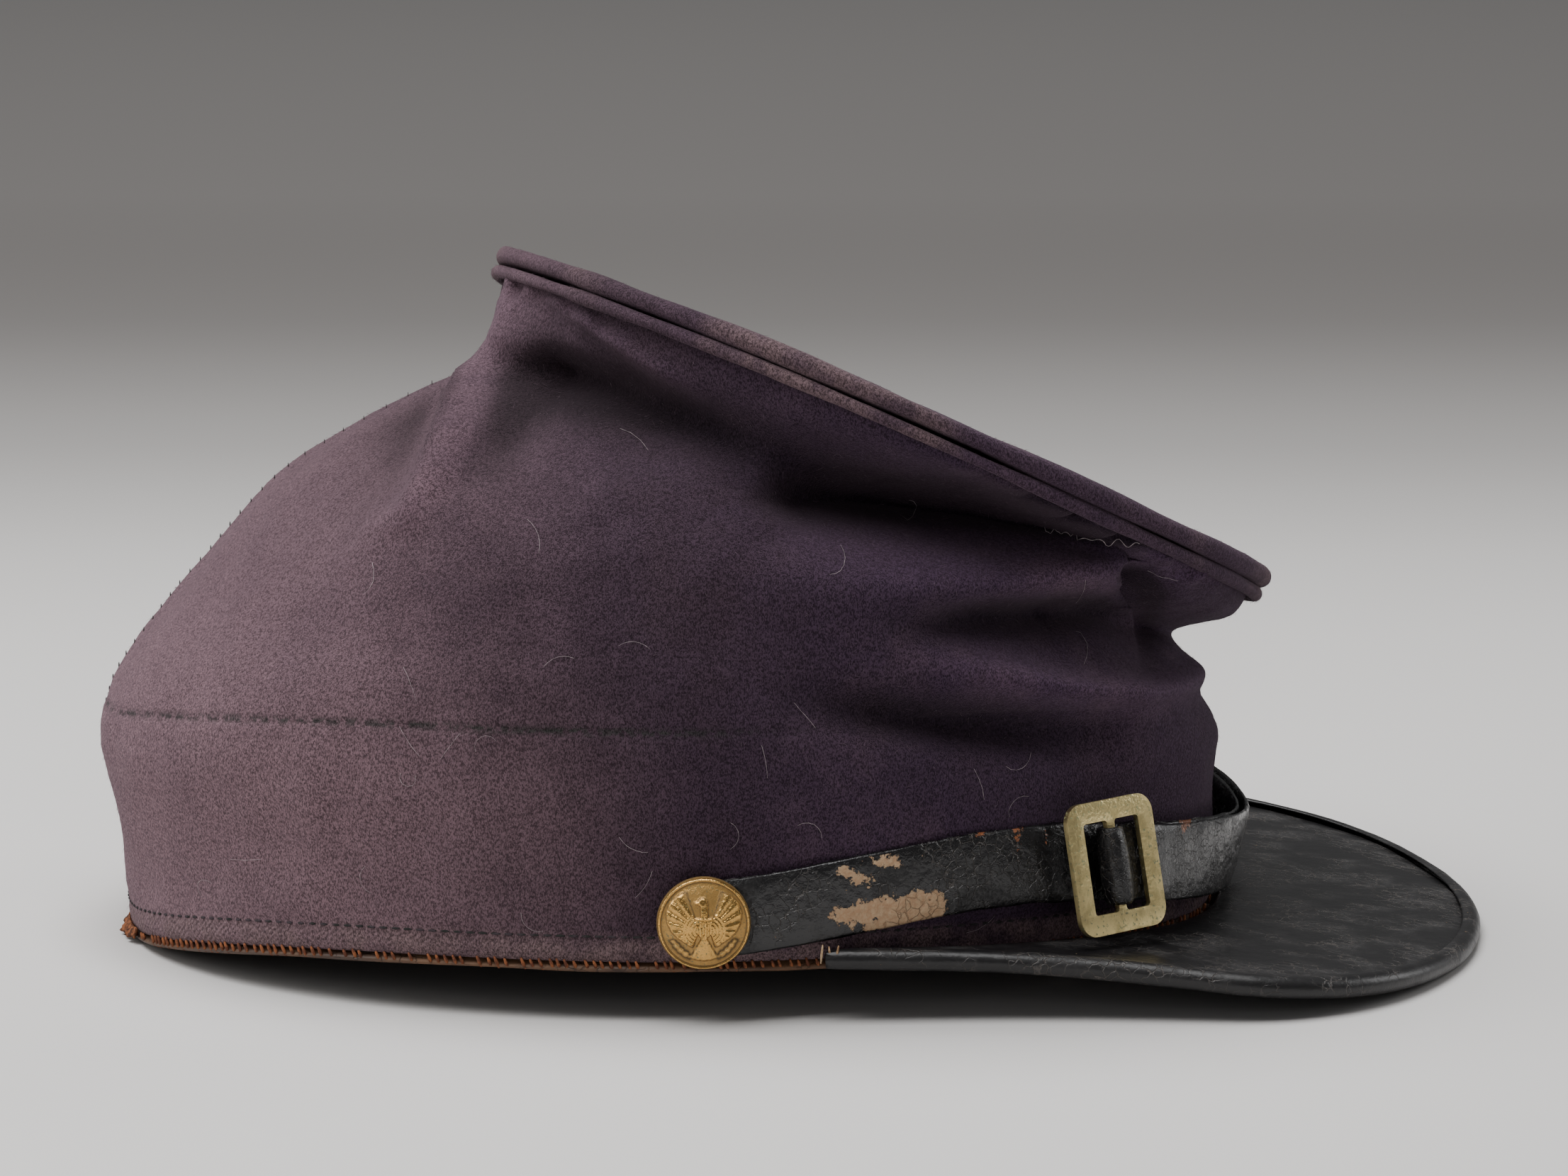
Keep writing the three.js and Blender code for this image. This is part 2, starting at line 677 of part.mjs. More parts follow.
const loopRadius = Math.hypot(BUCKLE_BAR, BUCKLE_WALL) / 2 + CLEARANCE + STRAP_WALL / 2;

// The buckle's own frame: its middle, along the strap, up the bar and out
function buckleFrame() {
  const { centre, out, up } = strapStation("outer", BUCKLE_ANGLE);
  const lean = radians(BUCKLE_LEAN);
  const bar = up.clone().applyAxisAngle(out, lean);
  const along = out.clone().cross(bar).normalize();
  const middle = centre.clone().addScaledVector(out, -barLoop[0].out * loopRadius);
  return { middle, along, up: bar, out };
}

function strapLeft() {
  const { middle, along, up, out } = buckleFrame();
  const reach = THREE.MathUtils.radToDeg((-barLoop[0].along * loopRadius) / HALF_LENGTH);
  const stations = strapRun("outer", BUTTON_ANGLE, BUCKLE_ANGLE + reach * LOOP_LEAD, STRAP_STEP);
  const path = new THREE.CatmullRomCurve3(
    barLoop.map((row) => new THREE.Vector3(row.along * loopRadius, row.out * loopRadius, 0)),
  );
  for (let i = 0; i <= LOOP_STEPS; i++) {
    const place = path.getPoint(i / LOOP_STEPS);
    const way = path.getTangent(i / LOOP_STEPS);
    stations.push({
      centre: middle.clone().addScaledVector(along, place.x).addScaledVector(out, place.y),
      out: out.clone().multiplyScalar(way.x).addScaledVector(along, -way.y),
      up,
    });
  }
  return strapSolid(stations);
}

// A rectangle with round corners
function roundedBox(path, width, height, corner, x = 0) {
  const [w, h] = [width / 2, height / 2];
  path.moveTo(x - w + corner, -h);
  path.lineTo(x + w - corner, -h);
  path.absarc(x + w - corner, -h + corner, corner, -Math.PI / 2, 0, false);
  path.lineTo(x + w, h - corner);
  path.absarc(x + w - corner, h - corner, corner, 0, Math.PI / 2, false);
  path.lineTo(x - w + corner, h);
  path.absarc(x - w + corner, h - corner, corner, Math.PI / 2, Math.PI, false);
  path.lineTo(x - w, -h + corner);
  path.absarc(x - w + corner, -h + corner, corner, Math.PI, 1.5 * Math.PI, false);
  return path;
}

// A flat brass frame with a bar down the middle of its window
function strapBuckle() {
  const shape = roundedBox(new THREE.Shape(), BUCKLE_WIDTH, BUCKLE_HEIGHT, BUCKLE_CORNER);
  const windowWidth = (BUCKLE_WIDTH - 2 * BUCKLE_ARM - BUCKLE_BAR) / 2;
  const windowHeight = BUCKLE_HEIGHT - 2 * BUCKLE_ARM;
  for (const side of [-1, 1]) {
    const middle = (side * (BUCKLE_BAR + windowWidth)) / 2;
    shape.holes.push(roundedBox(new THREE.Path(), windowWidth, windowHeight, BUCKLE_WINDOW_CORNER, middle));
  }
  const settings = { depth: BUCKLE_WALL, bevelEnabled: false, curveSegments: 4 };
  return new THREE.ExtrudeGeometry(shape, settings).translate(0, 0, -BUCKLE_WALL / 2);
}

// The button's round profile, from its flat back over the edge to the top of the dome
function buttonProfile(dome) {
  const profile = [new THREE.Vector2(0, 0), new THREE.Vector2(BUTTON_RADIUS - BUTTON_BEVEL, 0)];
  profile.push(new THREE.Vector2(BUTTON_RADIUS, BUTTON_BEVEL));
  for (const share of [1, 0.78, 0.45]) {
    const rise = dome * (1 - share * share);
    profile.push(new THREE.Vector2(BUTTON_RADIUS * share, BUTTON_EDGE + rise));
  }
  profile.push(new THREE.Vector2(0, BUTTON_EDGE + dome));
  return profile;
}

function toSolid(geometry) {
  const merged = mergeLathe(geometry.index ? geometry.clone() : mergeVertices(geometry));
  return new wasm.Manifold(
    new wasm.Mesh({
      numProp: 3,
      vertProperties: merged.getAttribute("position").array,
      triVerts: new Uint32Array(merged.getIndex().array),
    }),
  );
}

function fromSolid(solid) {
  const mesh = solid.getMesh();
  const geometry = new THREE.BufferGeometry();
  geometry.setAttribute("position", new THREE.BufferAttribute(new Float32Array(mesh.vertProperties), 3));
  geometry.setIndex([...mesh.triVerts]);
  geometry.computeVertexNormals();
  return geometry;
}

// Outlines of a spread bird with a shield, as shares of the button's radius
function fanOutline(root, from, to, tips, reach, notch) {
  const outline = [...root];
  for (let i = 0; i <= 2 * (tips - 1); i++) {
    const turn = radians(mix(from, to, i / (2 * (tips - 1))));
    const radius = i % 2 ? notch : reach;
    outline.push([radius * Math.cos(turn), radius * Math.sin(turn)]);
  }
  return outline;
}

function birdOutlines() {
  const wing = fanOutline([[0.16, -0.16], [0.14, 0.2]], 58, -22, 5, 0.84, 0.66);
  const mirrored = wing.map(([x, y]) => [-x, y]);
  const tail = fanOutline([[0.12, -0.25], [-0.12, -0.25]], -112, -68, 3, 0.78, 0.66);
  const shield = [[-0.2, 0.12], [-0.2, -0.12], [0, -0.32], [0.2, -0.12], [0.2, 0.12]];
  const head = [[-0.1, 0.1], [-0.12, 0.4], [-0.26, 0.44], [-0.1, 0.56], [0.06, 0.5], [0.1, 0.1]];
  return [wing, mirrored, tail, shield, head];
}

// A domed button whose raised bird follows the dome
function button() {
  const turned = (dome) =>
    toSolid(new THREE.LatheGeometry(buttonProfile(dome), 20).rotateX(Math.PI / 2));
  const raised = turned(BUTTON_DOME + BUTTON_RELIEF);
  let solid = turned(BUTTON_DOME);
  for (const outline of birdOutlines()) {
    const points = outline.map(([x, y]) => new THREE.Vector2(x, y).multiplyScalar(BUTTON_RADIUS));
    const settings = { depth: 2 * BUTTON_DOME, bevelEnabled: false };
    const prism = new THREE.ExtrudeGeometry(new THREE.Shape(points), settings);
    solid = solid.add(toSolid(prism.translate(0, 0, BUTTON_EDGE * 0.8)).intersect(raised));
  }
  return fromSolid(solid);
}

// The seat of a side button, on the strap that it holds
function buttonSeat(mesh, layer, side) {
  const { centre, out, up } = strapStation(layer, side * BUTTON_ANGLE);
  const right = up.clone().cross(out).normalize();
  mesh.quaternion.setFromRotationMatrix(new THREE.Matrix4().makeBasis(right, up, out));
  mesh.position.copy(centre).addScaledVector(out, STRAP_WALL / 2 + CLEARANCE);
}

function mesh(name, geometry, material) {
  const made = new THREE.Mesh(geometry, material);
  made.name = name;
  return made;
}

const cap = new THREE.Group();
const crown = new THREE.Group();
crown.add(mesh("crown_body", crownBody(), materials.wool));
crown.add(mesh("crown_disc", crownDisc(), materials.wool));
crown.add(mesh("disc_welt", discWelt(), materials.wool));
crown.add(mesh("sweatband", sweatband(), materials.brownLeather));

const peak = new THREE.Group();
peak.add(mesh("visor", visor(), materials.blackLeather));
peak.add(mesh("visor_binding", visorBinding(), materials.blackLeather));

const chinStrap = new THREE.Group();
chinStrap.add(mesh("strap_right", strapRight(), materials.blackLeather));
chinStrap.add(mesh("strap_left", strapLeft(), materials.blackLeather));

const buckle = mesh("strap_buckle", strapBuckle(), materials.brass);
const seat = buckleFrame();
buckle.position.copy(seat.middle);
buckle.quaternion.setFromRotationMatrix(
  new THREE.Matrix4().makeBasis(seat.along.clone().negate(), seat.up, seat.out),
);
chinStrap.add(buckle);

for (const [name, layer, side] of [
  ["button_right", "inner", -1],
  ["button_left", "outer", 1],
]) {
  const made = mesh(name, button(), materials.gilt);
  buttonSeat(made, layer, side);
  chinStrap.add(made);
}

cap.add(crown, peak, chinStrap);
cap.updateMatrixWorld(true);
const bounds = new THREE.Box3().setFromObject(cap, true);
const middle = bounds.getCenter(new THREE.Vector3());
cap.position.set(-middle.x, -middle.y, -bounds.min.z);

export default cap;
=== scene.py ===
import bisect
import json
import math
import random
from collections import namedtuple

import bmesh
import bpy
from bpy.props import FloatProperty, FloatVectorProperty, IntProperty, PointerProperty
from mathutils import Matrix, Vector, kdtree, noise
from mathutils.bvhtree import BVHTree

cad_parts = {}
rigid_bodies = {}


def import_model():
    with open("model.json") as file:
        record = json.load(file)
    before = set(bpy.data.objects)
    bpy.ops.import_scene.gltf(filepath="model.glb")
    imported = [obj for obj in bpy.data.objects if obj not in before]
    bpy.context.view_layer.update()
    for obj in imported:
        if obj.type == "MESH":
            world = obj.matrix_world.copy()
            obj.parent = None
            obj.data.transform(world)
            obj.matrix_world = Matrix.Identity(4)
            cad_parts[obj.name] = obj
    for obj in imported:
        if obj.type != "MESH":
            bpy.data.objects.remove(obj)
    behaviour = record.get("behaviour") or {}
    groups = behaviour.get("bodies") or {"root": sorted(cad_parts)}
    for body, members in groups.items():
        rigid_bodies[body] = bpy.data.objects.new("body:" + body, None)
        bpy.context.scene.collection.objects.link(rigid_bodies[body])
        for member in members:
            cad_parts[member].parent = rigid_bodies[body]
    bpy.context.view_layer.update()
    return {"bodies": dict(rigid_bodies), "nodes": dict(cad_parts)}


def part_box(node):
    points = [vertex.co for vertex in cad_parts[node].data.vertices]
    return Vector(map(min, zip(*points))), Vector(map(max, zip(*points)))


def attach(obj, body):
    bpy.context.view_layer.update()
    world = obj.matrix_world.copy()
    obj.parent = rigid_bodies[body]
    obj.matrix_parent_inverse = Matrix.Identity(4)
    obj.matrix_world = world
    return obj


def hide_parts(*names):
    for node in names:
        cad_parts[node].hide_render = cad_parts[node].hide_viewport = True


bl_info = {
    "name": "Forage Cap Finish",
    "version": (1, 0, 0),
    "blender": (4, 5, 0),
    "location": "View3D > Sidebar > Cap",
    "description": "Dresses a soft wool forage cap in cloth, leather, brass and thread",
    "category": "Object",
}

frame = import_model()
NODES = frame["nodes"]
BODY = next(iter(frame["bodies"]))
MM = 0.001
SEED = 1861


def node_span(node):
    """The lowest and highest corners of a frame node as vectors"""
    low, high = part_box(node)
    return Vector(low), Vector(high)


# The sweatband stands all round the rim, so it gives the rim's middle and its mean radius.
RIM_LOW, RIM_HIGH = node_span("sweatband")
RIM_MIDDLE = (RIM_LOW + RIM_HIGH) / 2
RIM_RADIUS = (RIM_HIGH.x - RIM_LOW.x + RIM_HIGH.y - RIM_LOW.y) / 4
VISOR_TIP = node_span("visor_binding")[1].x
TURN = 2 * math.pi
UP = Vector((0.0, 0.0, 1.0))


def colour(name, text, default):
    return FloatVectorProperty(
        name=name, description=text, default=default, size=4, subtype="COLOR", min=0.0, max=1.0
    )


def length(name, text, default):
    return FloatProperty(name=name, description=text, default=default, min=0.0, unit="LENGTH")


class WoolSettings(bpy.types.PropertyGroup):
    """Colours and sizes of the wool"""

    dark: colour("Dark wool", "Wool that has kept its dye", (0.0285, 0.017, 0.0245, 1.0))
    violet: colour("Violet wool", "Wool that has turned violet", (0.0285, 0.0168, 0.0305, 1.0))
    faded: colour("Faded wool", "Wool faded to a pinkish brown", (0.119, 0.0745, 0.0855, 1.0))
    worn: colour("Worn edge", "Bare weave along edges", (0.105, 0.070, 0.072, 1.0))
    thread: colour("Thread", "Dark greenish thread of the seams", (0.020, 0.021, 0.019, 1.0))
    lint: colour("Lint", "Loose pale fibres", (0.42, 0.36, 0.37, 1.0))
    stitch_pitch: length("Stitch pitch", "Length of one hem stitch and its gap", 2.3 * MM)
    nap_size: length("Nap size", "Width of the matted hairs of the nap", 0.17 * MM)
    hem_height: length("Hem height", "Height of the hem's stitch line over the rim", 4.5 * MM)
    band_height: length("Band line height", "Height of the worn line over the rim", 38 * MM)
    fibres: IntProperty(name="Fibres", description="Loose fibres of the nap", default=16000, min=0)


class LeatherSettings(bpy.types.PropertyGroup):
    """Colours and sizes of the leather"""

    black: colour("Black", "Varnished black leather", (0.0065, 0.006, 0.0065, 1.0))
    grey: colour("Scuffed", "Scuffed grey bloom on black leather", (0.055, 0.052, 0.052, 1.0))
    tan: colour("Tan", "Bare leather where the black has flaked off", (0.34, 0.205, 0.115, 1.0))
    rust: colour("Rust", "Rust-brown leather and thread", (0.24, 0.085, 0.035, 1.0))
    flake_size: length("Flake size", "Size of the crackle in the varnish", 2.2 * MM)


class BrassSettings(bpy.types.PropertyGroup):
    """Colours and sizes of the brass"""

    brass: colour("Brass", "Brass of the buckle", (0.90, 0.74, 0.36, 1.0))
    tarnish: colour("Tarnish", "Dull olive tarnish", (0.15, 0.115, 0.035, 1.0))
    verdigris: colour("Verdigris", "Green corrosion", (0.08, 0.16, 0.09, 1.0))
    gilt: colour("Gilt", "Gilding on the buttons", (0.74, 0.43, 0.13, 1.0))
    grime: colour("Grime", "Dark dirt in the hollows", (0.045, 0.028, 0.012, 1.0))


class StageSettings(bpy.types.PropertyGroup):
    """Floor, light and camera"""

    near_floor: colour("Near floor", "Floor round the cap", (0.60, 0.585, 0.575, 1.0))
    # Painted shade: the floor's colour far behind the cap, darker because the light falls off there
    far_floor_painted_shade: colour("Far floor", "Floor far behind the cap", (0.098, 0.091, 0.087, 1.0))
    elevation: FloatProperty(
        name="Elevation",
        description="Camera's angle over the floor",
        default=math.radians(10),
        subtype="ANGLE",
    )
    distance: length("Distance", "Camera's distance from its aim", 1.4)
    view_width: length("View width", "Width of the picture at the cap's middle", 0.2619)
    aim_height: length("Aim height", "Height that the camera aims at", 57.3 * MM)


class CapSettings(bpy.types.PropertyGroup):
    """All settings of the cap's finish"""

    wool: PointerProperty(type=WoolSettings)
    leather: PointerProperty(type=LeatherSettings)
    brass: PointerProperty(type=BrassSettings)
    stage: PointerProperty(type=StageSettings)


def settings():
    return bpy.context.scene.forage_cap


class Nodes:
    """Short ways to add and join the nodes of one material or node group"""

    def __init__(self, tree):
        self.tree = tree

    def add(self, kind, **values):
        node = self.tree.nodes.new(kind)
        for key, value in values.items():
            setattr(node, key, value)
        return node

    def feed(self, socket, value):
        if isinstance(value, bpy.types.NodeSocket):
            self.tree.links.new(value, socket)
        elif value is not None:
            socket.default_value = value

    def math(self, operation, first, second=None, third=None, clamp=False):
        node = self.add("ShaderNodeMath", operation=operation, use_clamp=clamp)
        for socket, value in zip(node.inputs, (first, second, third)):
            self.feed(socket, value)
        return node.outputs[0]

    def times(self, first, second):
        return self.math("MULTIPLY", first, second)

    def mix(self, share, first, second, blend="MIX"):
        node = self.add("ShaderNodeMix", data_type="RGBA", blend_type=blend)
        self.feed(node.inputs[0], share)
        self.feed(node.inputs[6], first)
        self.feed(node.inputs[7], second)
        return node.outputs[2]

    def step(self, value, low, high, start=0.0, end=1.0):
        node = self.add("ShaderNodeMapRange", interpolation_type="SMOOTHSTEP")
        for socket, number in zip(node.inputs, (value, low, high, start, end)):
            self.feed(socket, number)
        return node.outputs[0]

    def noise_at(self, place, scale, detail, rough=0.5):
        """A noise node, whose scale is a number or a socket"""
        node = self.add("ShaderNodeTexNoise")
        for label, value in (("Vector", place), ("Scale", scale), ("Detail", detail), ("Roughness", rough)):
            self.feed(node.inputs[label], value)
        return node

    def noise(self, place, size, detail=2.0, rough=0.5):
        """Noise whose blotches are about size metres across"""
        return self.noise_at(place, 1.0 / size, detail, rough).outputs["Fac"]

    def scaled(self, place, stretch, turn):
        node = self.add("ShaderNodeMapping")
        self.feed(node.inputs["Vector"], place)
        node.inputs["Scale"].default_value = stretch
        node.inputs["Rotation"].default_value = turn
        return node.outputs[0]

    def place(self):
        return self.add("ShaderNodeTexCoord").outputs["Object"]

    def split(self, vector):
        node = self.add("ShaderNodeSeparateXYZ")
        self.feed(node.inputs[0], vector)
        return node.outputs

    def attribute(self, name):
        return self.add("ShaderNodeAttribute", attribute_name=name).outputs["Fac"]

    def bump(self, height, distance, strength=1.0):
        node = self.add("ShaderNodeBump")
        self.feed(node.inputs["Strength"], strength)
        self.feed(node.inputs["Distance"], distance)
        self.feed(node.inputs["Height"], height)
        return node.outputs[0]

    def group(self, name, **values):
        node = self.add("ShaderNodeGroup", node_tree=bpy.data.node_groups[name])
        for key, value in values.items():
            self.feed(node.inputs[key.replace("_", " ")], value)
        return node.outputs


def node_group(name, inputs, outputs):
    """A new shader node group with float, colour and vector sockets"""
    kinds = {"f": "NodeSocketFloat", "c": "NodeSocketColor", "v": "NodeSocketVector"}
    tree = bpy.data.node_groups.new(name, "ShaderNodeTree")
    for label, kind in inputs.items():
        tree.interface.new_socket(name=label, in_out="INPUT", socket_type=kinds[kind])
    for label, kind in outputs.items():
        tree.interface.new_socket(name=label, in_out="OUTPUT", socket_type=kinds[kind])
    n = Nodes(tree)
    return n, n.add("NodeGroupInput").outputs, n.add("NodeGroupOutput").inputs


def new_material(name, **sockets):
    """A material with one Principled shader, whose uniform numbers are set on its own sockets"""
    material = bpy.data.materials.new(name)
    material.use_nodes = True
    n = Nodes(material.node_tree)
    shader = material.node_tree.nodes["Principled BSDF"]
    for key, value in sockets.items():
        shader.inputs[key.replace("_", " ")].default_value = value
    return material, n, shader.inputs


def make_nap_group():
    """Short matted hairs of a napped cloth: a light or dark value for its colour, and a height"""
    n, given, out = node_group("Wool nap", {"Place": "v", "Tuft Size": "f"}, {"Fleck": "f", "Height": "f"})
    scale = n.math("DIVIDE", 1.0, given["Tuft Size"])
    # Stretch, turn, how much finer, and share of each layer of hairs
    layers = (
        ((1.0, 1.0, 0.4), (0.5, 0.0, 0.0), 1.0, 0.4),
        ((0.9, 1.0, 0.35), (-0.6, 0.4, 0.0), 1.3, 0.3),
        ((1.0, 1.0, 1.0), (0.0, 0.0, 0.0), 0.35, 0.3),
    )
    total = 0.0
    for stretch, turn, finer, share in layers:
        place = n.scaled(given["Place"], stretch, turn)
        hairs = n.noise_at(place, n.times(scale, finer), 2.5, 0.6)
        total = n.math("MULTIPLY_ADD", hairs.outputs["Fac"], share, total)
    n.feed(out["Fleck"], n.step(total, 0.38, 0.62))
    n.feed(out["Height"], total)


def make_crackle_group():
    """Old varnish on leather: a height for its bump, and a mask of its cracks"""
    n, given, out = node_group(
        "Crackled varnish", {"Place": "v", "Flake Size": "f"}, {"Height": "f", "Cracks": "f"}
    )
    scale = n.math("DIVIDE", 1.0, given["Flake Size"])
    bend = n.noise_at(given["Place"], scale, 3.0)
    shift = n.add("ShaderNodeVectorMath", operation="MULTIPLY_ADD")
    n.feed(shift.inputs[0], bend.outputs["Color"])
    n.feed(shift.inputs[1], n.times(given["Flake Size"], 0.9))
    n.feed(shift.inputs[2], given["Place"])
    edges = n.add("ShaderNodeTexVoronoi", feature="DISTANCE_TO_EDGE")
    n.feed(edges.inputs["Vector"], shift.outputs[0])
    n.feed(edges.inputs["Scale"], scale)
    cracks = n.step(edges.outputs["Distance"], 0.0, 0.06, 1.0, 0.0)
    broad = n.noise_at(given["Place"], n.times(scale, 0.25), 4.0)
    patchy = n.step(broad.outputs["Fac"], 0.42, 0.62)
    cracks = n.times(cracks, patchy)
    n.feed(out["Cracks"], cracks)
    height = n.math("SUBTRACT", n.times(bend.outputs["Fac"], 0.8), n.times(cracks, 0.5))
    n.feed(out["Height"], height)


def make_patina_group():
    """Tarnish on metal: masks of dull tarnish and of specks, and a height for its bump"""
    n, given, out = node_group(
        "Metal patina", {"Place": "v", "Blotch Size": "f"}, {"Tarnish": "f", "Specks": "f", "Height": "f"}
    )
    scale = n.math("DIVIDE", 1.0, given["Blotch Size"])
    blotch = n.noise_at(given["Place"], scale, 6.0, 0.62)
    grains = n.noise_at(given["Place"], n.times(scale, 5.0), 3.0)
    n.feed(out["Tarnish"], n.step(blotch.outputs["Fac"], 0.42, 0.66))
    n.feed(out["Specks"], n.step(grains.outputs["Fac"], 0.58, 0.68))
    n.feed(out["Height"], n.math("ADD", grains.outputs["Fac"], blotch.outputs["Fac"]))


def merged(node):
    """A bmesh with a frame node's mesh, its loose triangles merged and joined to quads"""
    shape = bmesh.new()
    shape.from_mesh(NODES[node].data)
    bmesh.ops.remove_doubles(shape, verts=shape.verts, dist=0.005 * MM)
    bmesh.ops.join_triangles(
        shape,
        faces=shape.faces,
        angle_face_threshold=math.radians(50),
        angle_shape_threshold=math.radians(60),
    )
    return shape


def mesh_from(shape, name):
    """A new mesh from the bmesh, which is freed"""
    mesh = bpy.data.meshes.new(name)
    shape.to_mesh(mesh)
    shape.free()
    return mesh


def added(name, data):
    """A new object in the scene"""
    item = bpy.data.objects.new(name, data)
    bpy.context.scene.collection.objects.link(item)
    return item


def divided(shape, levels):
    """The bmesh's mesh after smooth subdivision, back in a new bmesh"""
    mesh = mesh_from(shape, "rough")
    rough = added("rough", mesh)
    smooth = rough.modifiers.new("Subdivision", "SUBSURF")
    smooth.levels = levels
    smooth.render_levels = levels
    graph = bpy.context.evaluated_depsgraph_get()
    finer = bmesh.new()
    finer.from_object(rough, graph)
    bpy.data.objects.remove(rough)
    bpy.data.meshes.remove(mesh)
    return finer


def finish_piece(shape, name, material, replaces=()):
    """The bmesh as a finished piece of the cap, with its material, riding on the cap's body"""
    shape.normal_update()
    mesh = mesh_from(shape, name)
    mesh.materials.append(material)
    piece = added(name, mesh)
    for face in mesh.polygons:
        face.use_smooth = True
    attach(piece, BODY)
    if replaces:
        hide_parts(*replaces)
    return piece


def stamped(stamp, places):
    """A bmesh with a copy of the stamp bmesh at each matrix of places"""
    mesh = mesh_from(stamp, "stamp")
    shape = bmesh.new()
    for place in places:
        copy = mesh.copy()
        copy.transform(place)
        shape.from_mesh(copy)
        bpy.data.meshes.remove(copy)
    bpy.data.meshes.remove(mesh)
    return shape


def stations(points):
    """A frame (matrix) at each point of a path, with Z along it and X kept as level as it can be"""
    places = []
    for index, point in enumerate(points):
        before = points[max(index - 1, 0)]
        after = points[min(index + 1, len(points) - 1)]
        along = (after - before).normalized()
        side = along.cross(UP)
        side = side.normalized() if side.length > 1e-4 else Vector((1.0, 0.0, 0.0))
        place = Matrix((side, along.cross(side), along)).transposed().to_4x4()
        place.translation = point
        places.append(place)
    return places


def add_tube(shape, points, radius, sides):
    """A tube along the points, whose ring is extruded from station to station"""
    places = stations(points)
    ring = bmesh.ops.create_circle(shape, cap_ends=False, segments=sides, radius=radius)["verts"]
    plan = {vert: vert.co.copy() for vert in ring}
    first_edges = list({edge for vert in ring for edge in vert.link_edges})
    edges = first_edges
    for vert in ring:
        vert.co = places[0] @ plan[vert]
    for place in places[1:]:
        old = set(ring)
        grown = bmesh.ops.extrude_edge_only(shape, edges=edges)["geom"]
        ring = [g for g in grown if isinstance(g, bmesh.types.BMVert)]
        edges = [g for g in grown if isinstance(g, bmesh.types.BMEdge)]
        for vert in ring:
            plan[vert] = next(plan[e.other_vert(vert)] for e in vert.link_edges if e.other_vert(vert) in old)
            vert.co = place @ plan[vert]
    bmesh.ops.edgeloop_fill(shape, edges=first_edges)
    bmesh.ops.edgeloop_fill(shape, edges=edges)


def make_wool_group():
    """Colour of the wool over the cap: dark, violet or faded by place, with its nap, and painted shade in the
    hollows of its folds and painted light on their ridges
    """
    wool = settings().wool
    n, given, out = node_group(
        "Wool colour",
        {"Place": "v", "Wear": "f", "Fade": "f", "Lift": "f", "Line": "f"},
        {"Colour": "c", "Height": "f", "Rough": "f"},
    )
    place = given["Place"]
    x, _, z = n.split(place)
    nap = n.group("Wool nap", Place=place, Tuft_Size=wool.nap_size)
    broad = n.noise(place, 30 * MM, 2.0)
    patch = n.noise(place, 6 * MM, 4.0, 0.6)
    drift = n.math("SUBTRACT", n.math("MULTIPLY_ADD", patch, 0.6, broad), 0.8)
    back = n.step(x, -24 * MM, -88 * MM)
    low = n.times(n.step(z, 66 * MM, 30 * MM), n.step(x, -12 * MM, -44 * MM))
    fade = n.math("MULTIPLY_ADD", back, 0.6, n.times(low, 0.36))
    fade = n.math("ADD", fade, given["Fade"])
    fade = n.math("MULTIPLY_ADD", drift, 0.5, fade, clamp=True)
    violet = n.math("MULTIPLY_ADD", drift, 1.2, n.step(x, -50 * MM, 30 * MM), clamp=True)
    base = n.mix(violet, wool.dark, wool.violet)
    base = n.mix(fade, base, wool.faded)
    worn = n.times(given["Wear"], n.step(patch, 0.35, 0.6, 0.35, 1.0))
    base = n.mix(worn, base, wool.worn)
    thread = n.times(given["Line"], n.step(n.noise(place, 1.6 * MM, 3.0, 0.7), 0.4, 0.56))
    base = n.mix(n.times(thread, n.step(x, 10 * MM, -25 * MM)), base, wool.thread)
    nap_and_painted_fold_shade = n.step(nap["Fleck"], 0.0, 1.0, 0.45, 1.6)
    # Painted shade and painted light: the fold lift darkens the wool in the hollows of its folds and lightens
    # it on their ridges
    nap_and_painted_fold_shade = n.times(nap_and_painted_fold_shade, n.step(given["Lift"], -4.5, 3.2, 0.4, 1.7))
    n.feed(out["Colour"], n.mix(1.0, base, nap_and_painted_fold_shade, blend="MULTIPLY"))
    n.feed(out["Height"], nap["Height"])
    n.feed(out["Rough"], n.step(nap["Fleck"], 0.0, 1.0, 0.98, 0.84))


def wool_material(name, fade=0.0):
    """Napped wool whose worn places, by the piece's wear attribute, show their coarse weave"""
    material, n, sockets = new_material(
        name,
        Roughness=0.95,
        Specular_IOR_Level=0.15,
        Sheen_Weight=0.12,
        Sheen_Roughness=0.4,
        Sheen_Tint=(0.72, 0.5, 0.62, 1.0),
    )
    place = n.place()
    wear = n.attribute("wear")
    wool = n.group(
        "Wool colour", Place=place, Wear=wear, Fade=fade, Lift=n.attribute("lift"), Line=n.attribute("line")
    )
    n.feed(sockets["Base Color"], wool["Colour"])
    n.feed(sockets["Roughness"], wool["Rough"])
    threads = n.math(
        "MULTIPLY",
        n.math("SINE", n.times(n.attribute("around"), TURN / (1.3 * MM))),
        n.math("SINE", n.times(n.attribute("level"), TURN / (1.1 * MM))),
    )
    height = n.math("MULTIPLY_ADD", n.times(threads, wear), 0.3, wool["Height"])
    n.feed(sockets["Normal"], n.bump(height, 0.5 * MM, 0.9))
    return material


def way_round(point):
    """A point's direction round the cap's middle in radians, 0 at the front"""
    return math.atan2(point.y - RIM_MIDDLE.y, point.x - RIM_MIDDLE.x)


# The wool's lower edge is all below this height, and its columns stand further apart than this angle.
RIM_REACH = 13 * MM
COLUMN_GAP = 0.045


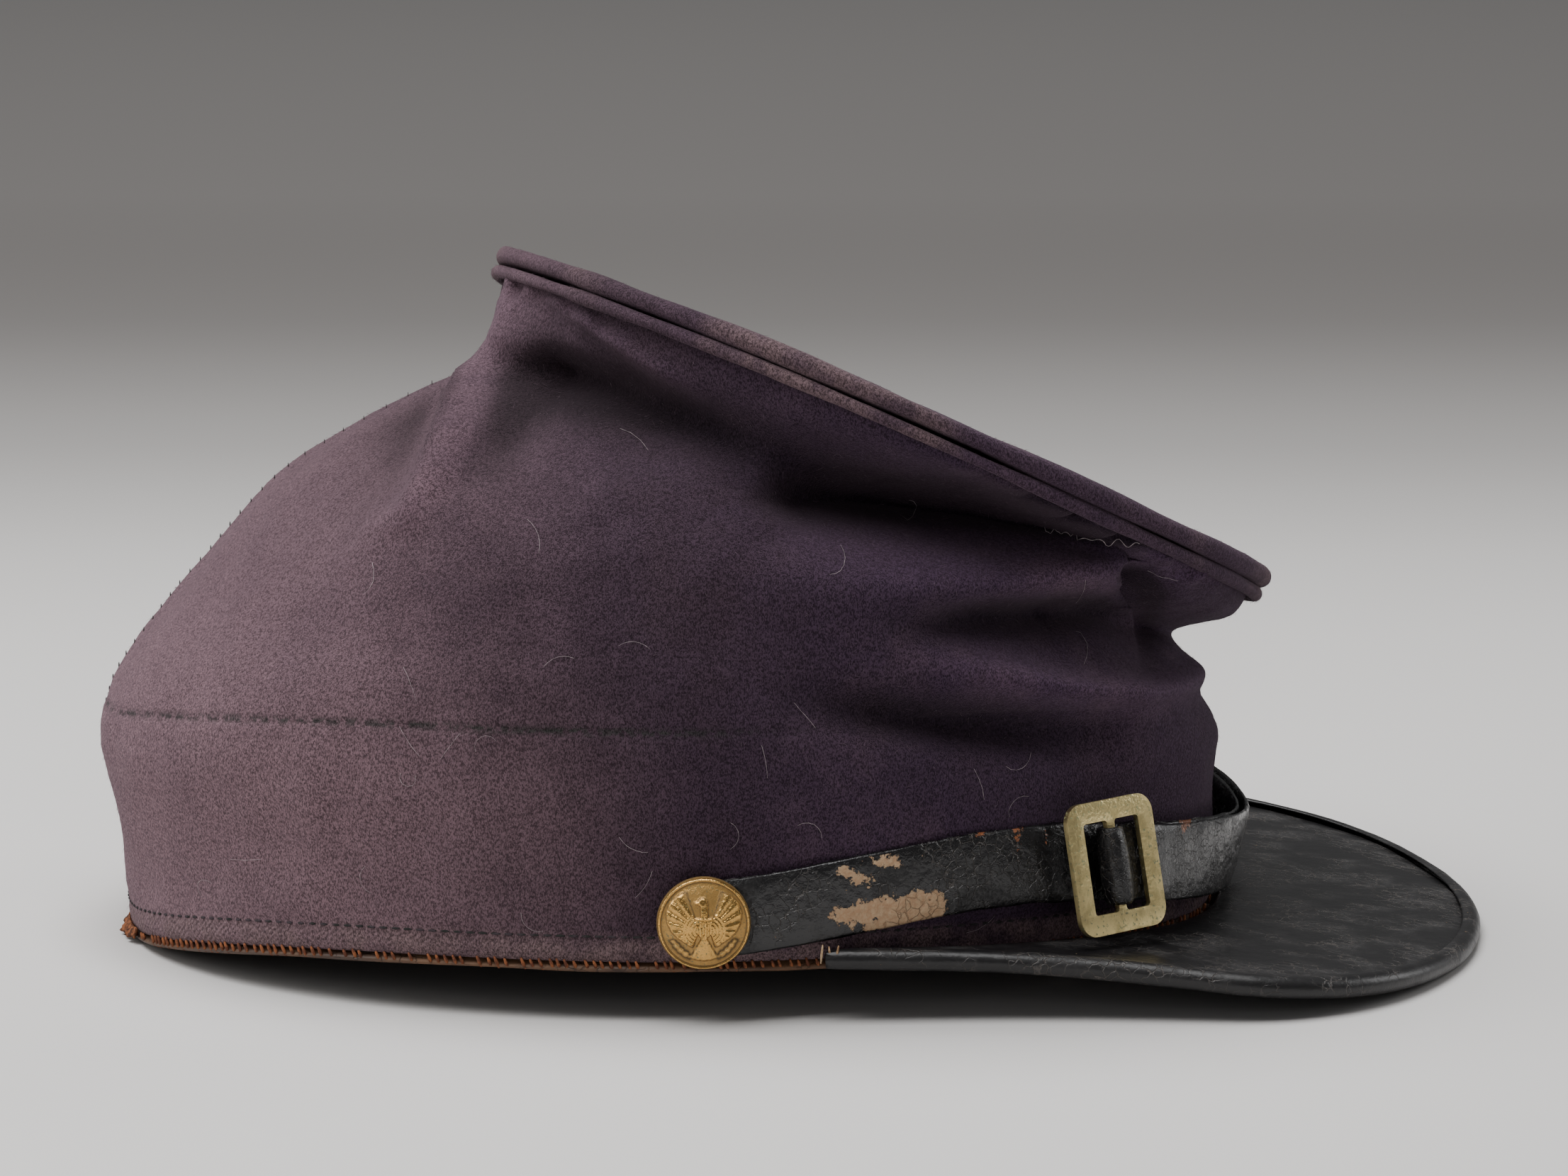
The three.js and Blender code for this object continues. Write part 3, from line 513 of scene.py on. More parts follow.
def rim_stations():
    """Direction and height of the wool's lower edge at each column of the frame's own mesh"""
    verts = NODES["crown_body"].data.vertices
    lowest = sorted((way_round(vert.co), vert.co.z) for vert in verts if vert.co.z < RIM_REACH)
    columns = [list(lowest[0])]
    for way, height in lowest[1:]:
        if way - columns[-1][0] > COLUMN_GAP:
            columns.append([way, height])
        else:
            columns[-1][1] = min(columns[-1][1], height)
    first, last = columns[0], columns[-1]
    return [(last[0] - TURN, last[1])] + [tuple(column) for column in columns] + [(first[0] + TURN, first[1])]


RIM_STATIONS = rim_stations()


def rim_height(point):
    """Height of the wool's lower edge under or over a point"""
    way = way_round(point)
    index = max(1, bisect.bisect([station[0] for station in RIM_STATIONS], way))
    (way0, height0), (way1, height1) = RIM_STATIONS[index - 1 : index + 1]
    return height0 + (height1 - height0) * (way - way0) / (way1 - way0)


def add_floats(piece, **values):
    """Float attributes on the piece's vertices, each from a function of the vertex's place"""
    for name, value in values.items():
        layer = piece.data.attributes.new(name, "FLOAT", "POINT")
        layer.data.foreach_set("value", [value(vert.co) for vert in piece.data.vertices])


def rise(value, low, high):
    """0 below low, 1 above high and smooth between them"""
    share = max(0.0, min(1.0, (value - low) / (high - low)))
    return share * share * (3 - 2 * share)


def bell(value, centre, width):
    """1 at the centre, falling to 0 on both sides"""
    return math.exp(-(((value - centre) / width) ** 2))


def ruffle(point, normal, amount=1.0):
    """Small unevenness of soft cloth along its normal, in metres"""
    broad = noise.noise(point * 38.0) * 1.1
    middle = noise.noise(point * 110.0 + Vector((3.1, 7.7, 1.3))) * 0.4
    fine = noise.noise(point * 420.0) * 0.1
    return normal * ((broad + middle + fine) * amount * MM)


# Folds that sharpen the frame's own, on the near (-Y) and far (+Y) sides of the wool: the side, the width
# in mm above or behind the line, the width below it, and the line's points (x, z and lift in mm).
Fold = namedtuple("Fold", "side upper lower points")
FINE_FOLDS = (
    Fold(-1, 5.6, 1.7, (
        (-6, 83, -1), (2, 80.5, -6), (14, 79.5, -9.5), (30, 78, -10.5), (46, 76, -9.5), (56, 74, -6),
        (62, 73, -2),
    )),
    Fold(-1, 1.9, 4.6, ((0, 76, 0.8), (20, 74, 2.8), (38, 72, 4.2), (51, 70.5, 4))),
    Fold(-1, 1.9, 2.2, ((53.5, 68.5, -3), (56.5, 66.2, -7.5), (59.5, 63, -3))),
    Fold(-1, 2.2, 1.6, ((58.5, 62, -3), (58.8, 57, -3), (58, 51, -0.6))),
    Fold(-1, 2, 1.8, ((54, 73, 1), (59, 70.5, 3.6), (63, 67.5, 4.2), (69, 66, 3))),
    Fold(-1, 1.8, 1.8, ((50, 68, 0.6), (51.6, 65.5, 1.8), (54, 61, 1.6), (55, 57, 0.4))),
    Fold(-1, 3.6, 2.8, ((18, 63.5, -1), (32, 63, -4.5), (44, 61.5, -6), (53, 60.5, -3.4))),
    Fold(-1, 2, 3.6, ((22, 58, 0.6), (33, 55, 2.8), (45, 51.2, 4.2), (56, 48.4, 4.2), (67, 47, 2.2))),
    Fold(-1, 4.5, 3.4, ((2, 52, -1), (14, 49, -4), (26, 46.5, -4), (40, 44, -2.6), (50, 42, -1.2))),
    Fold(-1, 1.6, 3.2, (
        (-69, 74, 0.4), (-61, 80, 2.6), (-56.5, 87, 4.6), (-52.5, 95, 4.8), (-50, 102, 2), (-48, 108, 3.6),
        (-47, 115, 5.6),
    )),
    Fold(-1, 7, 2, ((-66, 81, -1), (-61, 90, -4), (-57, 98, -5.5), (-54, 106, -4))),
    Fold(-1, 5, 3.6, (
        (-48, 87, -1.4), (-43.5, 94, -5.5), (-38, 97, -7.5), (-28, 96, -6.4), (-16, 93.5, -4.4),
        (-4, 90, -2.2), (8, 87, -1),
    )),
    Fold(-1, 2, 1.8, ((-47, 113, 1.2), (-35, 109, 1.8), (-22, 102, 2.4), (-14, 98.5, 0.8))),
    Fold(-1, 1.6, 1.6, ((-41, 110.5, -1), (-33, 106, -1.2), (-24, 100.5, -0.6))),
    Fold(1, 4, 4, ((-50, 92, 0.8), (-34, 84, 1.6), (-16, 74, 0.8))),
    Fold(1, 3, 4, ((-4, 64, 0.8), (14, 58, 1.8), (34, 50, 1))),
    Fold(1, 3, 3.4, ((6, 47, -0.8), (26, 42, -1.6), (44, 38, -0.8))),
)


def fold_lift(co):
    """How far the fine folds lift or sink the wool at a place, in metres"""
    total = 0.0
    place = Vector((co.x, co.z)) / MM
    for fold in FINE_FOLDS:
        side = min(1.0, max(0.0, (fold.side * co.y / MM - 6) / 12))
        if not side:
            continue
        nearest = (1e9, 0.0, 0.0)
        points = fold.points
        for (x0, z0, lift0), (x1, z1, lift1) in zip(points, points[1:]):
            start = Vector((x0, z0))
            along = Vector((x1, z1)) - start
            here = place - start
            share = max(0.0, min(1.0, here.dot(along) / along.length_squared))
            far = (here - along * share).length
            if far < nearest[0]:
                width = fold.upper if along.x * here.y - along.y * here.x > 0 else fold.lower
                nearest = (far, width, lift0 + (lift1 - lift0) * share)
        far, width, lift = nearest
        total += side * lift * math.exp(-((far / width) ** 2))
    return total * MM


def is_outer(normal, middle):
    """Whether a face of the wall looks away from the cap's middle"""
    return normal.x * (middle.x - RIM_MIDDLE.x) + normal.y * middle.y > 0


def moved(node, levels, shift):
    """A frame node's mesh, divided, with each vertex shifted by a function of its place and normal"""
    shape = divided(merged(node), levels)
    shape.normal_update()
    for vert in shape.verts:
        vert.co += shift(vert.co, vert.normal)
    return shape


class CAP_OT_crown(bpy.types.Operator):
    """Dress the wool crown: finer cloth with its folds, its nap and its worn lines"""

    bl_idname = "cap.crown"
    bl_label = "Crown"

    def execute(self, context):
        wool = settings().wool
        welt = kdtree.KDTree(len(NODES["disc_welt"].data.vertices))
        for index, vert in enumerate(NODES["disc_welt"].data.vertices):
            welt.insert(vert.co, index)
        welt.balance()
        shape = divided(merged("crown_body"), 2)
        shape.normal_update()
        near = [
            face
            for face in shape.faces
            if face.normal.y < -0.1
            and face.calc_center_median().z > 30 * MM
            and is_outer(face.normal, face.calc_center_median())
        ]
        edges = list({edge for face in near for edge in face.edges})
        bmesh.ops.subdivide_edges(shape, edges=edges, cuts=1, use_grid_fill=True)
        shape.normal_update()
        for vert in shape.verts:
            outward = Vector((vert.co.x - RIM_MIDDLE.x, vert.co.y, 0.0)).normalized()
            above = vert.co.z - rim_height(vert.co)
            from_welt = welt.find(vert.co)[2]
            # Under the round top's front the folds stay further from its welt
            front = rise(vert.co.x, 30 * MM, 50 * MM)
            free = rise(from_welt, (1.2 + front) * MM, (4.5 + 2.5 * front) * MM)
            folded = fold_lift(vert.co) * rise(vert.co.z, 18 * MM, 40 * MM) * free
            shift = outward * folded
            if vert.normal.dot(outward) > -0.3:
                ease = rise(above, 1.5 * MM, 10 * MM) * rise(from_welt, 2 * MM, 8 * MM)
                groove = bell(above, wool.hem_height, 0.8 * MM) * 0.4
                groove += bell(above, wool.band_height, 0.6 * MM) * 0.25
                groove += bell(vert.co.y, 0.0, 0.8 * MM) * 0.55 * (vert.co.x < RIM_MIDDLE.x) * ease
                shift += ruffle(vert.co, vert.normal, ease) - vert.normal * groove * MM
            vert.co += shift
        crown = finish_piece(shape, "wool_crown", wool_material("Wool"), ["crown_body"])
        add_floats(
            crown,
            level=lambda co: co.z - rim_height(co),
            around=lambda co: way_round(co) * RIM_RADIUS,
            wear=self.wear,
            line=lambda co: bell(co.z - rim_height(co), wool.band_height, 0.55 * MM),
            # The lift attribute also paints shade into the wool's colour in the folds' hollows, and light on
            # their ridges
            lift=lambda co: fold_lift(co) / MM,
        )
        return {"FINISHED"}

    @staticmethod
    def wear(co):
        """Worn to the weave below the hem line"""
        wool = settings().wool
        above = co.z - rim_height(co)
        return 0.85 * max(0.0, min(1.0, (wool.hem_height - above) / (1.2 * MM) + 0.3))


class CAP_OT_top(bpy.types.Operator):
    """Dress the round top and the welt that runs round it"""

    bl_idname = "cap.top"
    bl_label = "Round top"

    def execute(self, context):
        corners = [Vector(corner) for corner in NODES["crown_disc"].bound_box]
        middle = sum(corners, Vector()) / len(corners)
        reach = max((vert.co - middle).length for vert in NODES["crown_disc"].data.vertices)

        def wear(co):
            """Rubbed bare in short stretches along the edge"""
            rubbed = noise.noise(Vector((co.x, co.y, 0.0)) * 70.0)
            return max(0.0, min(0.7, rubbed * 1.6)) * rise((co - middle).length / reach, 0.9, 0.97)

        for node, name, amount in (("crown_disc", "wool_top", 0.5), ("disc_welt", "wool_welt", 0.35)):
            shape = moved(node, 2, lambda co, normal: ruffle(co, normal, amount) + normal * 0.22 * MM)
            piece = finish_piece(shape, name, wool_material("Wool of " + name, 0.1), [node])
            add_floats(
                piece,
                wear=wear,
                around=lambda co: co.x,
                level=lambda co: co.y,
                line=lambda co: 0.0,
                lift=lambda co: 0.0,
            )
        return {"FINISHED"}


class CAP_OT_sweatband(bpy.types.Operator):
    """Dress the leather sweatband inside the rim"""

    bl_idname = "cap.sweatband"
    bl_label = "Sweatband"

    def execute(self, context):
        leather = settings().leather
        material, n, sockets = new_material("Old brown leather", Roughness=0.6)
        place = n.place()
        old = n.group("Crackled varnish", Place=place, Flake_Size=leather.flake_size * 1.4)
        stain = n.noise(place, 14 * MM, 4.0, 0.6)
        brown = n.mix(n.step(stain, 0.35, 0.65), (0.045, 0.022, 0.012, 1.0), (0.13, 0.065, 0.032, 1.0))
        cracked = n.mix(n.times(old["Cracks"], 0.6), brown, (0.02, 0.011, 0.007, 1.0))
        n.feed(sockets["Base Color"], cracked)
        n.feed(sockets["Roughness"], n.step(stain, 0.3, 0.7, 0.45, 0.75))
        n.feed(sockets["Normal"], n.bump(old["Height"], 0.3 * MM))
        shape = moved("sweatband", 1, lambda co, normal: normal * noise.noise(co * 60.0) * 0.2 * MM)
        finish_piece(shape, "leather_sweatband", material, ["sweatband"])
        return {"FINISHED"}


def varnished_leather(name, wear=0.7, shine=0.4, flakes=1.0, relief=0.22, gloss=0.08):
    """Black varnished leather, crackled, with a grey bloom, and bare and rusty places by attributes"""
    leather = settings().leather
    material, n, sockets = new_material(name, Roughness=shine, Coat_Roughness=0.25, Specular_IOR_Level=0.45)
    place = n.place()
    old = n.group("Crackled varnish", Place=place, Flake_Size=leather.flake_size * flakes)
    fine = n.noise(place, 0.5 * MM, 3.0, 0.7)
    blotch = n.noise(place, 9 * MM, 4.0, 0.6)
    bloom = n.times(n.step(blotch, 0.42, 0.68), n.step(fine, 0.35, 0.7, 0.35, 1.0))
    base = n.mix(n.times(bloom, wear), leather.black, leather.grey)
    base = n.mix(n.times(old["Cracks"], 0.55), base, (0.10, 0.085, 0.075, 1.0))

    def ragged(size, rough, strength, mask):
        """The piece's attribute with a ragged edge"""
        rag = n.math("SUBTRACT", n.noise(place, size, 6.0, rough), 0.5)
        return n.math("MULTIPLY_ADD", rag, strength, n.attribute(mask))

    bare = n.step(ragged(1.7 * MM, 0.75, 2.6, "bare"), 0.5, 0.56)
    mottle = n.step(n.noise(place, 0.8 * MM, 4.0, 0.7), 0.35, 0.65)
    tan = n.mix(mottle, leather.tan, (0.40, 0.28, 0.17, 1.0))
    base = n.mix(bare, base, tan)
    rust = n.step(ragged(1.5 * MM, 0.7, 1.8, "rust"), 0.48, 0.56)
    base = n.mix(rust, base, leather.rust)
    n.feed(sockets["Base Color"], base)
    dull = n.math("MAXIMUM", n.times(bloom, 0.75), bare)
    n.feed(sockets["Roughness"], n.step(dull, 0.0, 1.0, shine, 0.82))
    n.feed(sockets["Coat Weight"], n.step(dull, 0.5, 0.0, 0.0, gloss))
    height = n.math("MULTIPLY_ADD", fine, 0.18, old["Height"])
    n.feed(sockets["Normal"], n.bump(n.math("MULTIPLY_ADD", bare, -0.8, height), relief * MM, 0.9))
    return material


class CAP_OT_visor(bpy.types.Operator):
    """Dress the leather visor and the narrow binding round its edge"""

    bl_idname = "cap.visor"
    bl_label = "Visor"

    def execute(self, context):
        shape = moved("visor", 2, self.uneven)
        plate = finish_piece(shape, "visor_leather", varnished_leather("Visor leather"), ["visor"])
        add_floats(plate, bare=lambda co: 0.0, rust=lambda co: 0.0)
        shape = moved("visor_binding", 1, lambda co, normal: normal * noise.noise(co * 130.0) * 0.14 * MM)
        leather = varnished_leather("Binding leather", wear=0.3)
        edge = finish_piece(shape, "binding_leather", leather, ["visor_binding"])
        add_floats(edge, bare=self.worn_edge, rust=lambda co: 0.0)
        return {"FINISHED"}

    @staticmethod
    def uneven(co, normal):
        """Shallow lumps of old leather"""
        return normal * (noise.noise(co * 45.0) * 0.35 + noise.noise(co * 160.0) * 0.1) * MM

    @staticmethod
    def worn_edge(co):
        """Worn most at the tip of the near side and in short nicks"""
        tip = bell(co.x, VISOR_TIP - 9 * MM, 12 * MM) * bell(co.y, -22 * MM, 26 * MM)
        return 0.18 * tip + 0.1 * max(0.0, noise.noise(co * 90.0))


# Patches on the near strap: x, z, half width and half height in mm
TAN_PATCHES = (
    (12, 18, 6.5, 1.7),
    (19, 17.9, 6.5, 2.4),
    (17.5, 15.6, 8, 1.0),
    (8.3, 24.8, 1.7, 1.1),
    (11.5, 22.6, 1.5, 1.3),
    (15, 26.2, 2.4, 0.8),
    (18, 25, 0.7, 0.7),
)
RUST_PATCHES = ((36.4, 27.6, 1.3, 2.6), (30.2, 29, 1.6, 0.9), (41, 27, 0.9, 1.8), (64.8, 25, 1.4, 1.6))


def patchwork(co, patches):
    """Near 1 inside the patches and 0 outside them"""
    return max(
        math.exp(-(((co.x - x * MM) / (w * MM)) ** 4 + ((co.z - z * MM) / (h * MM)) ** 4))
        for x, z, w, h in patches
    )


class CAP_OT_strap(bpy.types.Operator):
    """Dress the chin strap, whose black varnish has flaked off in patches"""

    bl_idname = "cap.strap"
    bl_label = "Chin strap"

    def execute(self, context):
        for node, name in (("strap_right", "strap_near"), ("strap_left", "strap_front")):
            shape = moved(node, 2, lambda co, normal: normal * self.wrinkle(co) * MM)
            leather = varnished_leather("Leather of " + name, 0.07, 0.22, 0.8, 0.7, 0.3)
            strap = finish_piece(shape, name, leather, [node])
            add_floats(strap, bare=self.bare, rust=self.rust)
        return {"FINISHED"}

    @staticmethod
    def wrinkle(co):
        """Uneven old leather in mm, creased across the strap towards the buckle"""
        creased = rise(co.x, 14 * MM, 30 * MM) * (co.y < 0)
        across = noise.noise(Vector((co.x * 420.0 + co.z * 60.0, co.y * 100.0, co.z * 90.0)))
        lumps = noise.noise(co * 95.0) * 0.22 + noise.noise(co * 300.0) * 0.08
        end = bell(co.x, 41.8 * MM, 0.7 * MM) * 0.35 * (co.y < 0)
        return lumps + across * (0.08 + 0.2 * creased) + end

    @staticmethod
    def bare(co):
        """Tan patches on the near strap, and faint ones on the far side"""
        if co.y > 0:
            return 0.2 * max(0.0, noise.noise(co * 60.0))
        return 1.05 * patchwork(co, TAN_PATCHES)

    @staticmethod
    def rust(co):
        """Rust-brown flakes beside the buckle"""
        return 0.62 * patchwork(co, RUST_PATCHES) if co.y <= 0 else 0.0


def brass_material(name, metal, blotch=3.0 * MM, dull=0.55, shine=0.3):
    """Old brass or gilding with dull tarnish, dark grime and green specks"""
    brass = settings().brass
    material, n, sockets = new_material(name, Roughness=shine, Metallic=1.0)
    place = n.place()
    old = n.group("Metal patina", Place=place, Blotch_Size=blotch)
    tarnish = n.times(old["Tarnish"], dull)
    base = n.mix(tarnish, metal, brass.tarnish)
    base = n.mix(n.times(old["Specks"], 0.7), base, brass.verdigris)
    grime = n.attribute("grime")
    base = n.mix(grime, base, brass.grime)
    n.feed(sockets["Base Color"], base)
    n.feed(sockets["Roughness"], n.step(n.math("MAXIMUM", tarnish, grime), 0.0, 1.0, shine, 0.75))
    n.feed(sockets["Metallic"], n.step(n.math("MAXIMUM", old["Specks"], grime), 0.0, 1.0, 1.0, 0.25))
    n.feed(sockets["Normal"], n.bump(old["Height"], 0.12 * MM, 0.7))
    return material


class CAP_OT_buckle(bpy.types.Operator):
    """Dress the flat brass buckle with rounded corners and its patina"""

    bl_idname = "cap.buckle"
    bl_label = "Buckle"

    def execute(self, context):
        brass = settings().brass
        shape = merged("strap_buckle")
        bmesh.ops.dissolve_limit(shape, angle_limit=math.radians(2), verts=shape.verts, edges=shape.edges)
        sharp = [e for e in shape.edges if e.is_manifold and e.calc_face_angle(0) > math.radians(28)]
        bmesh.ops.bevel(
            shape,
            geom=sharp,
            offset=0.28 * MM,
            segments=3,
            profile=0.5,
            affect="EDGES",
            material=-1,
            clamp_overlap=True,
        )
        metal = brass_material("Buckle brass", brass.brass, dull=0.4)
        buckle = finish_piece(shape, "brass_buckle", metal, ["strap_buckle"])
        add_floats(buckle, grime=lambda co: max(0.0, min(0.6, noise.noise(co * 240.0) * 1.2)))
        return {"FINISHED"}


def bird_relief(u, v):
    """Height, 0 to 1, of a spread bird with a shield at a place on a button of radius 1"""
    side = abs(u)
    way = math.atan2(v + 0.08, side - 0.1)
    far = math.hypot(side - 0.1, v + 0.08)
    reach = 0.44 + 0.42 * rise(way, -0.9, 0.9)
    feathers = 0.35 + 0.65 * abs(math.sin(way * 11)) if far > 0.36 else 0.55 + 0.45 * abs(math.sin(far * 42))
    wing = rise(reach - far, 0, 0.05) * rise(way, -1.3, -1.1) * rise(-way, -1.3, -1.1) * feathers
    way = math.atan2(side, -(v + 0.16))
    far = math.hypot(side, v + 0.16)
    tail = rise(0.64 - far, 0, 0.05) * rise(0.55 - way, 0, 0.12) * (0.4 + 0.6 * abs(math.cos(way * 15)))
    head = rise(0.12 - math.hypot(u + 0.03, v - 0.5), 0, 0.05)
    beak = rise(0.05 - math.hypot((u + 0.15) * 0.6, v - 0.49), 0, 0.04)
    neck = rise(0.1 - side, 0, 0.05) * rise(v, 0.1, 0.2) * rise(0.52 - v, 0, 0.08)
    point = max(0.0, 1 - (max(0.0, -v - 0.02) / 0.3) ** 2)
    shield = rise(0.2 * point - side, 0, 0.03) * rise(0.2 - v, 0, 0.03)
    stripes = 0.55 + 0.45 * (math.sin(u * 58) > 0) if v < 0.09 else 0.65 + 0.35 * (math.sin(v * 90) > 0)
    sprig = bell(math.hypot(side, v + 0.02), 0.72, 0.07) * rise(-v, 0.26, 0.38) * rise(side, 0.24, 0.34)
    sprig *= 0.4 + 0.6 * abs(math.sin(math.atan2(v, side) * 17))
    rim = bell(math.hypot(u, v), 0.955, 0.035)
    return max(wing, tail, head, beak, neck * 0.85, shield * stripes * 1.15, sprig * 0.7, rim * 0.9)


class CAP_OT_buttons(bpy.types.Operator):
    """Dress the small gilt buttons that hold the strap's ends, each with a raised bird"""

    bl_idname = "cap.buttons"
    bl_label = "Buttons"

    def execute(self, context):
        brass = settings().brass
        gilt = brass_material("Button gilding", brass.gilt, 1.6 * MM, 0.2, 0.2)
        for node, name in (("button_right", "gilt_button_near"), ("button_left", "gilt_button_far")):
            seat, radius, thickness = self.seat(node)
            button = finish_piece(self.button(seat, radius, thickness), name, gilt, [node])
            back = seat.inverted()

            def grime(co):
                local = back @ co
                relief = bird_relief(local.x / radius, local.y / radius)
                return 0.14 + 0.8 * bell(relief, 0.2, 0.2) * rise(local.z, 0.2 * MM, 0.8 * MM)

            add_floats(button, grime=grime)
        return {"FINISHED"}

    @staticmethod
    def seat(node):
        """The button's own frame on the middle of its flat back, its radius and its thickness"""
        shape = merged(node)
        flats = {}
        for face in shape.faces:
            flats.setdefault(tuple(round(c, 1) for c in face.normal), []).append(face)
        back = max(flats.values(), key=lambda faces: sum(f.calc_area() for f in faces))
        area = sum(f.calc_area() for f in back)
        out = -sum((f.normal * f.calc_area() for f in back), Vector()).normalized()
        middle = sum((f.calc_center_median_weighted() * f.calc_area() for f in back), Vector()) / area
        side = UP.cross(out).normalized()
        place = Matrix((side, out.cross(side), out)).transposed().to_4x4()
        place.translation = middle
        away = [vert.co - middle for vert in shape.verts]
        radius = max((a - out * a.dot(out)).length for a in away)
        thickness = max(a.dot(out) for a in away)
        shape.free()
        return place, radius, thickness

    @staticmethod
    def button(seat, radius, thickness):
        """A domed button spun from its profile, with its bird raised by moving the vertices"""
        shape = bmesh.new()
        edge = 0.3
        rows = [(0.97, 0.04), (1.0, 0.12), (1.0, 0.22), (0.98, edge)]
        rings = 56
        for step in range(1, rings + 1):
            share = 0.98 * (1 - step / rings)
            rows.append((share, edge + (1 - edge - 0.1) * (1 - share * share)))
        last = bmesh.ops.create_vert(shape, co=(radius * 0.9, 0.0, 0.0))["vert"]
        for x, z in rows:
            last = bmesh.ops.extrude_vert_indiv(shape, verts=last)["verts"]
            last[0].co = (radius * x, 0.0, thickness * z)
        bmesh.ops.spin(
            shape,
            geom=shape.verts[:] + shape.edges[:],
            cent=(0, 0, 0),
            axis=(0, 0, 1),
            angle=2 * math.pi,
            steps=132,
            use_merge=True,
            use_duplicate=False,
        )
        bmesh.ops.remove_doubles(shape, verts=shape.verts, dist=0.001 * MM)
        bottom = [e for e in shape.edges if e.is_boundary]
        bmesh.ops.edgeloop_fill(shape, edges=bottom)
        bmesh.ops.recalc_face_normals(shape, faces=shape.faces)
        for vert in shape.verts:
            if vert.co.z > thickness * edge * 0.9:
                vert.co.z += bird_relief(vert.co.x / radius, vert.co.y / radius) * 0.5 * MM
            vert.co = seat @ vert.co
        return shape


def finder(piece):
    """A search tree over the faces of a finished piece"""
    shape = bmesh.new()
    shape.from_mesh(piece.data)
    tree = BVHTree.FromBMesh(shape)
    shape.free()
    return tree


def on_wall(tree, way, above):
    """Place and normal on the wool's outside, in a direction and above its lower edge"""
    out = Vector((math.cos(way), math.sin(way), 0.0))
    start = Vector((RIM_MIDDLE.x, RIM_MIDDLE.y, 0.0)) + out * 0.2
    start.z = rim_height(start) + above
    return tree.ray_cast(start, -out)[:2]


def on_near(tree, x, z):
    """Place and normal where a level line from the near side meets the wool, x and z in mm"""
    return tree.ray_cast(Vector((x * MM, -0.3, z * MM)), Vector((0.0, 1.0, 0.0)))[:2]


def lying(place, along, normal, size):
    """A matrix that puts a stamp on a surface, its X along a line and its Z along the normal"""
    side = normal.cross(along).normalized()
    matrix = Matrix((along.normalized(), side, normal)).transposed().to_4x4() @ Matrix.Diagonal((*size, 1.0))
    matrix.translation = place
    return matrix


def bead():
    """A small round stamp of two dozen faces, one unit long"""
    shape = bmesh.new()
    bmesh.ops.create_uvsphere(shape, u_segments=6, v_segments=4, radius=0.5)
    return shape


def thread_material(name, dark, light, roughness=0.85):
    material, n, sockets = new_material(name, Roughness=roughness, Specular_IOR_Level=0.2)
    place = n.place()
    n.feed(sockets["Base Color"], n.mix(n.step(n.noise(place, 0.9 * MM, 2.0), 0.4, 0.6), dark, light))
    return material


EDGE_STITCHES = 330
BACK_STITCHES = 48


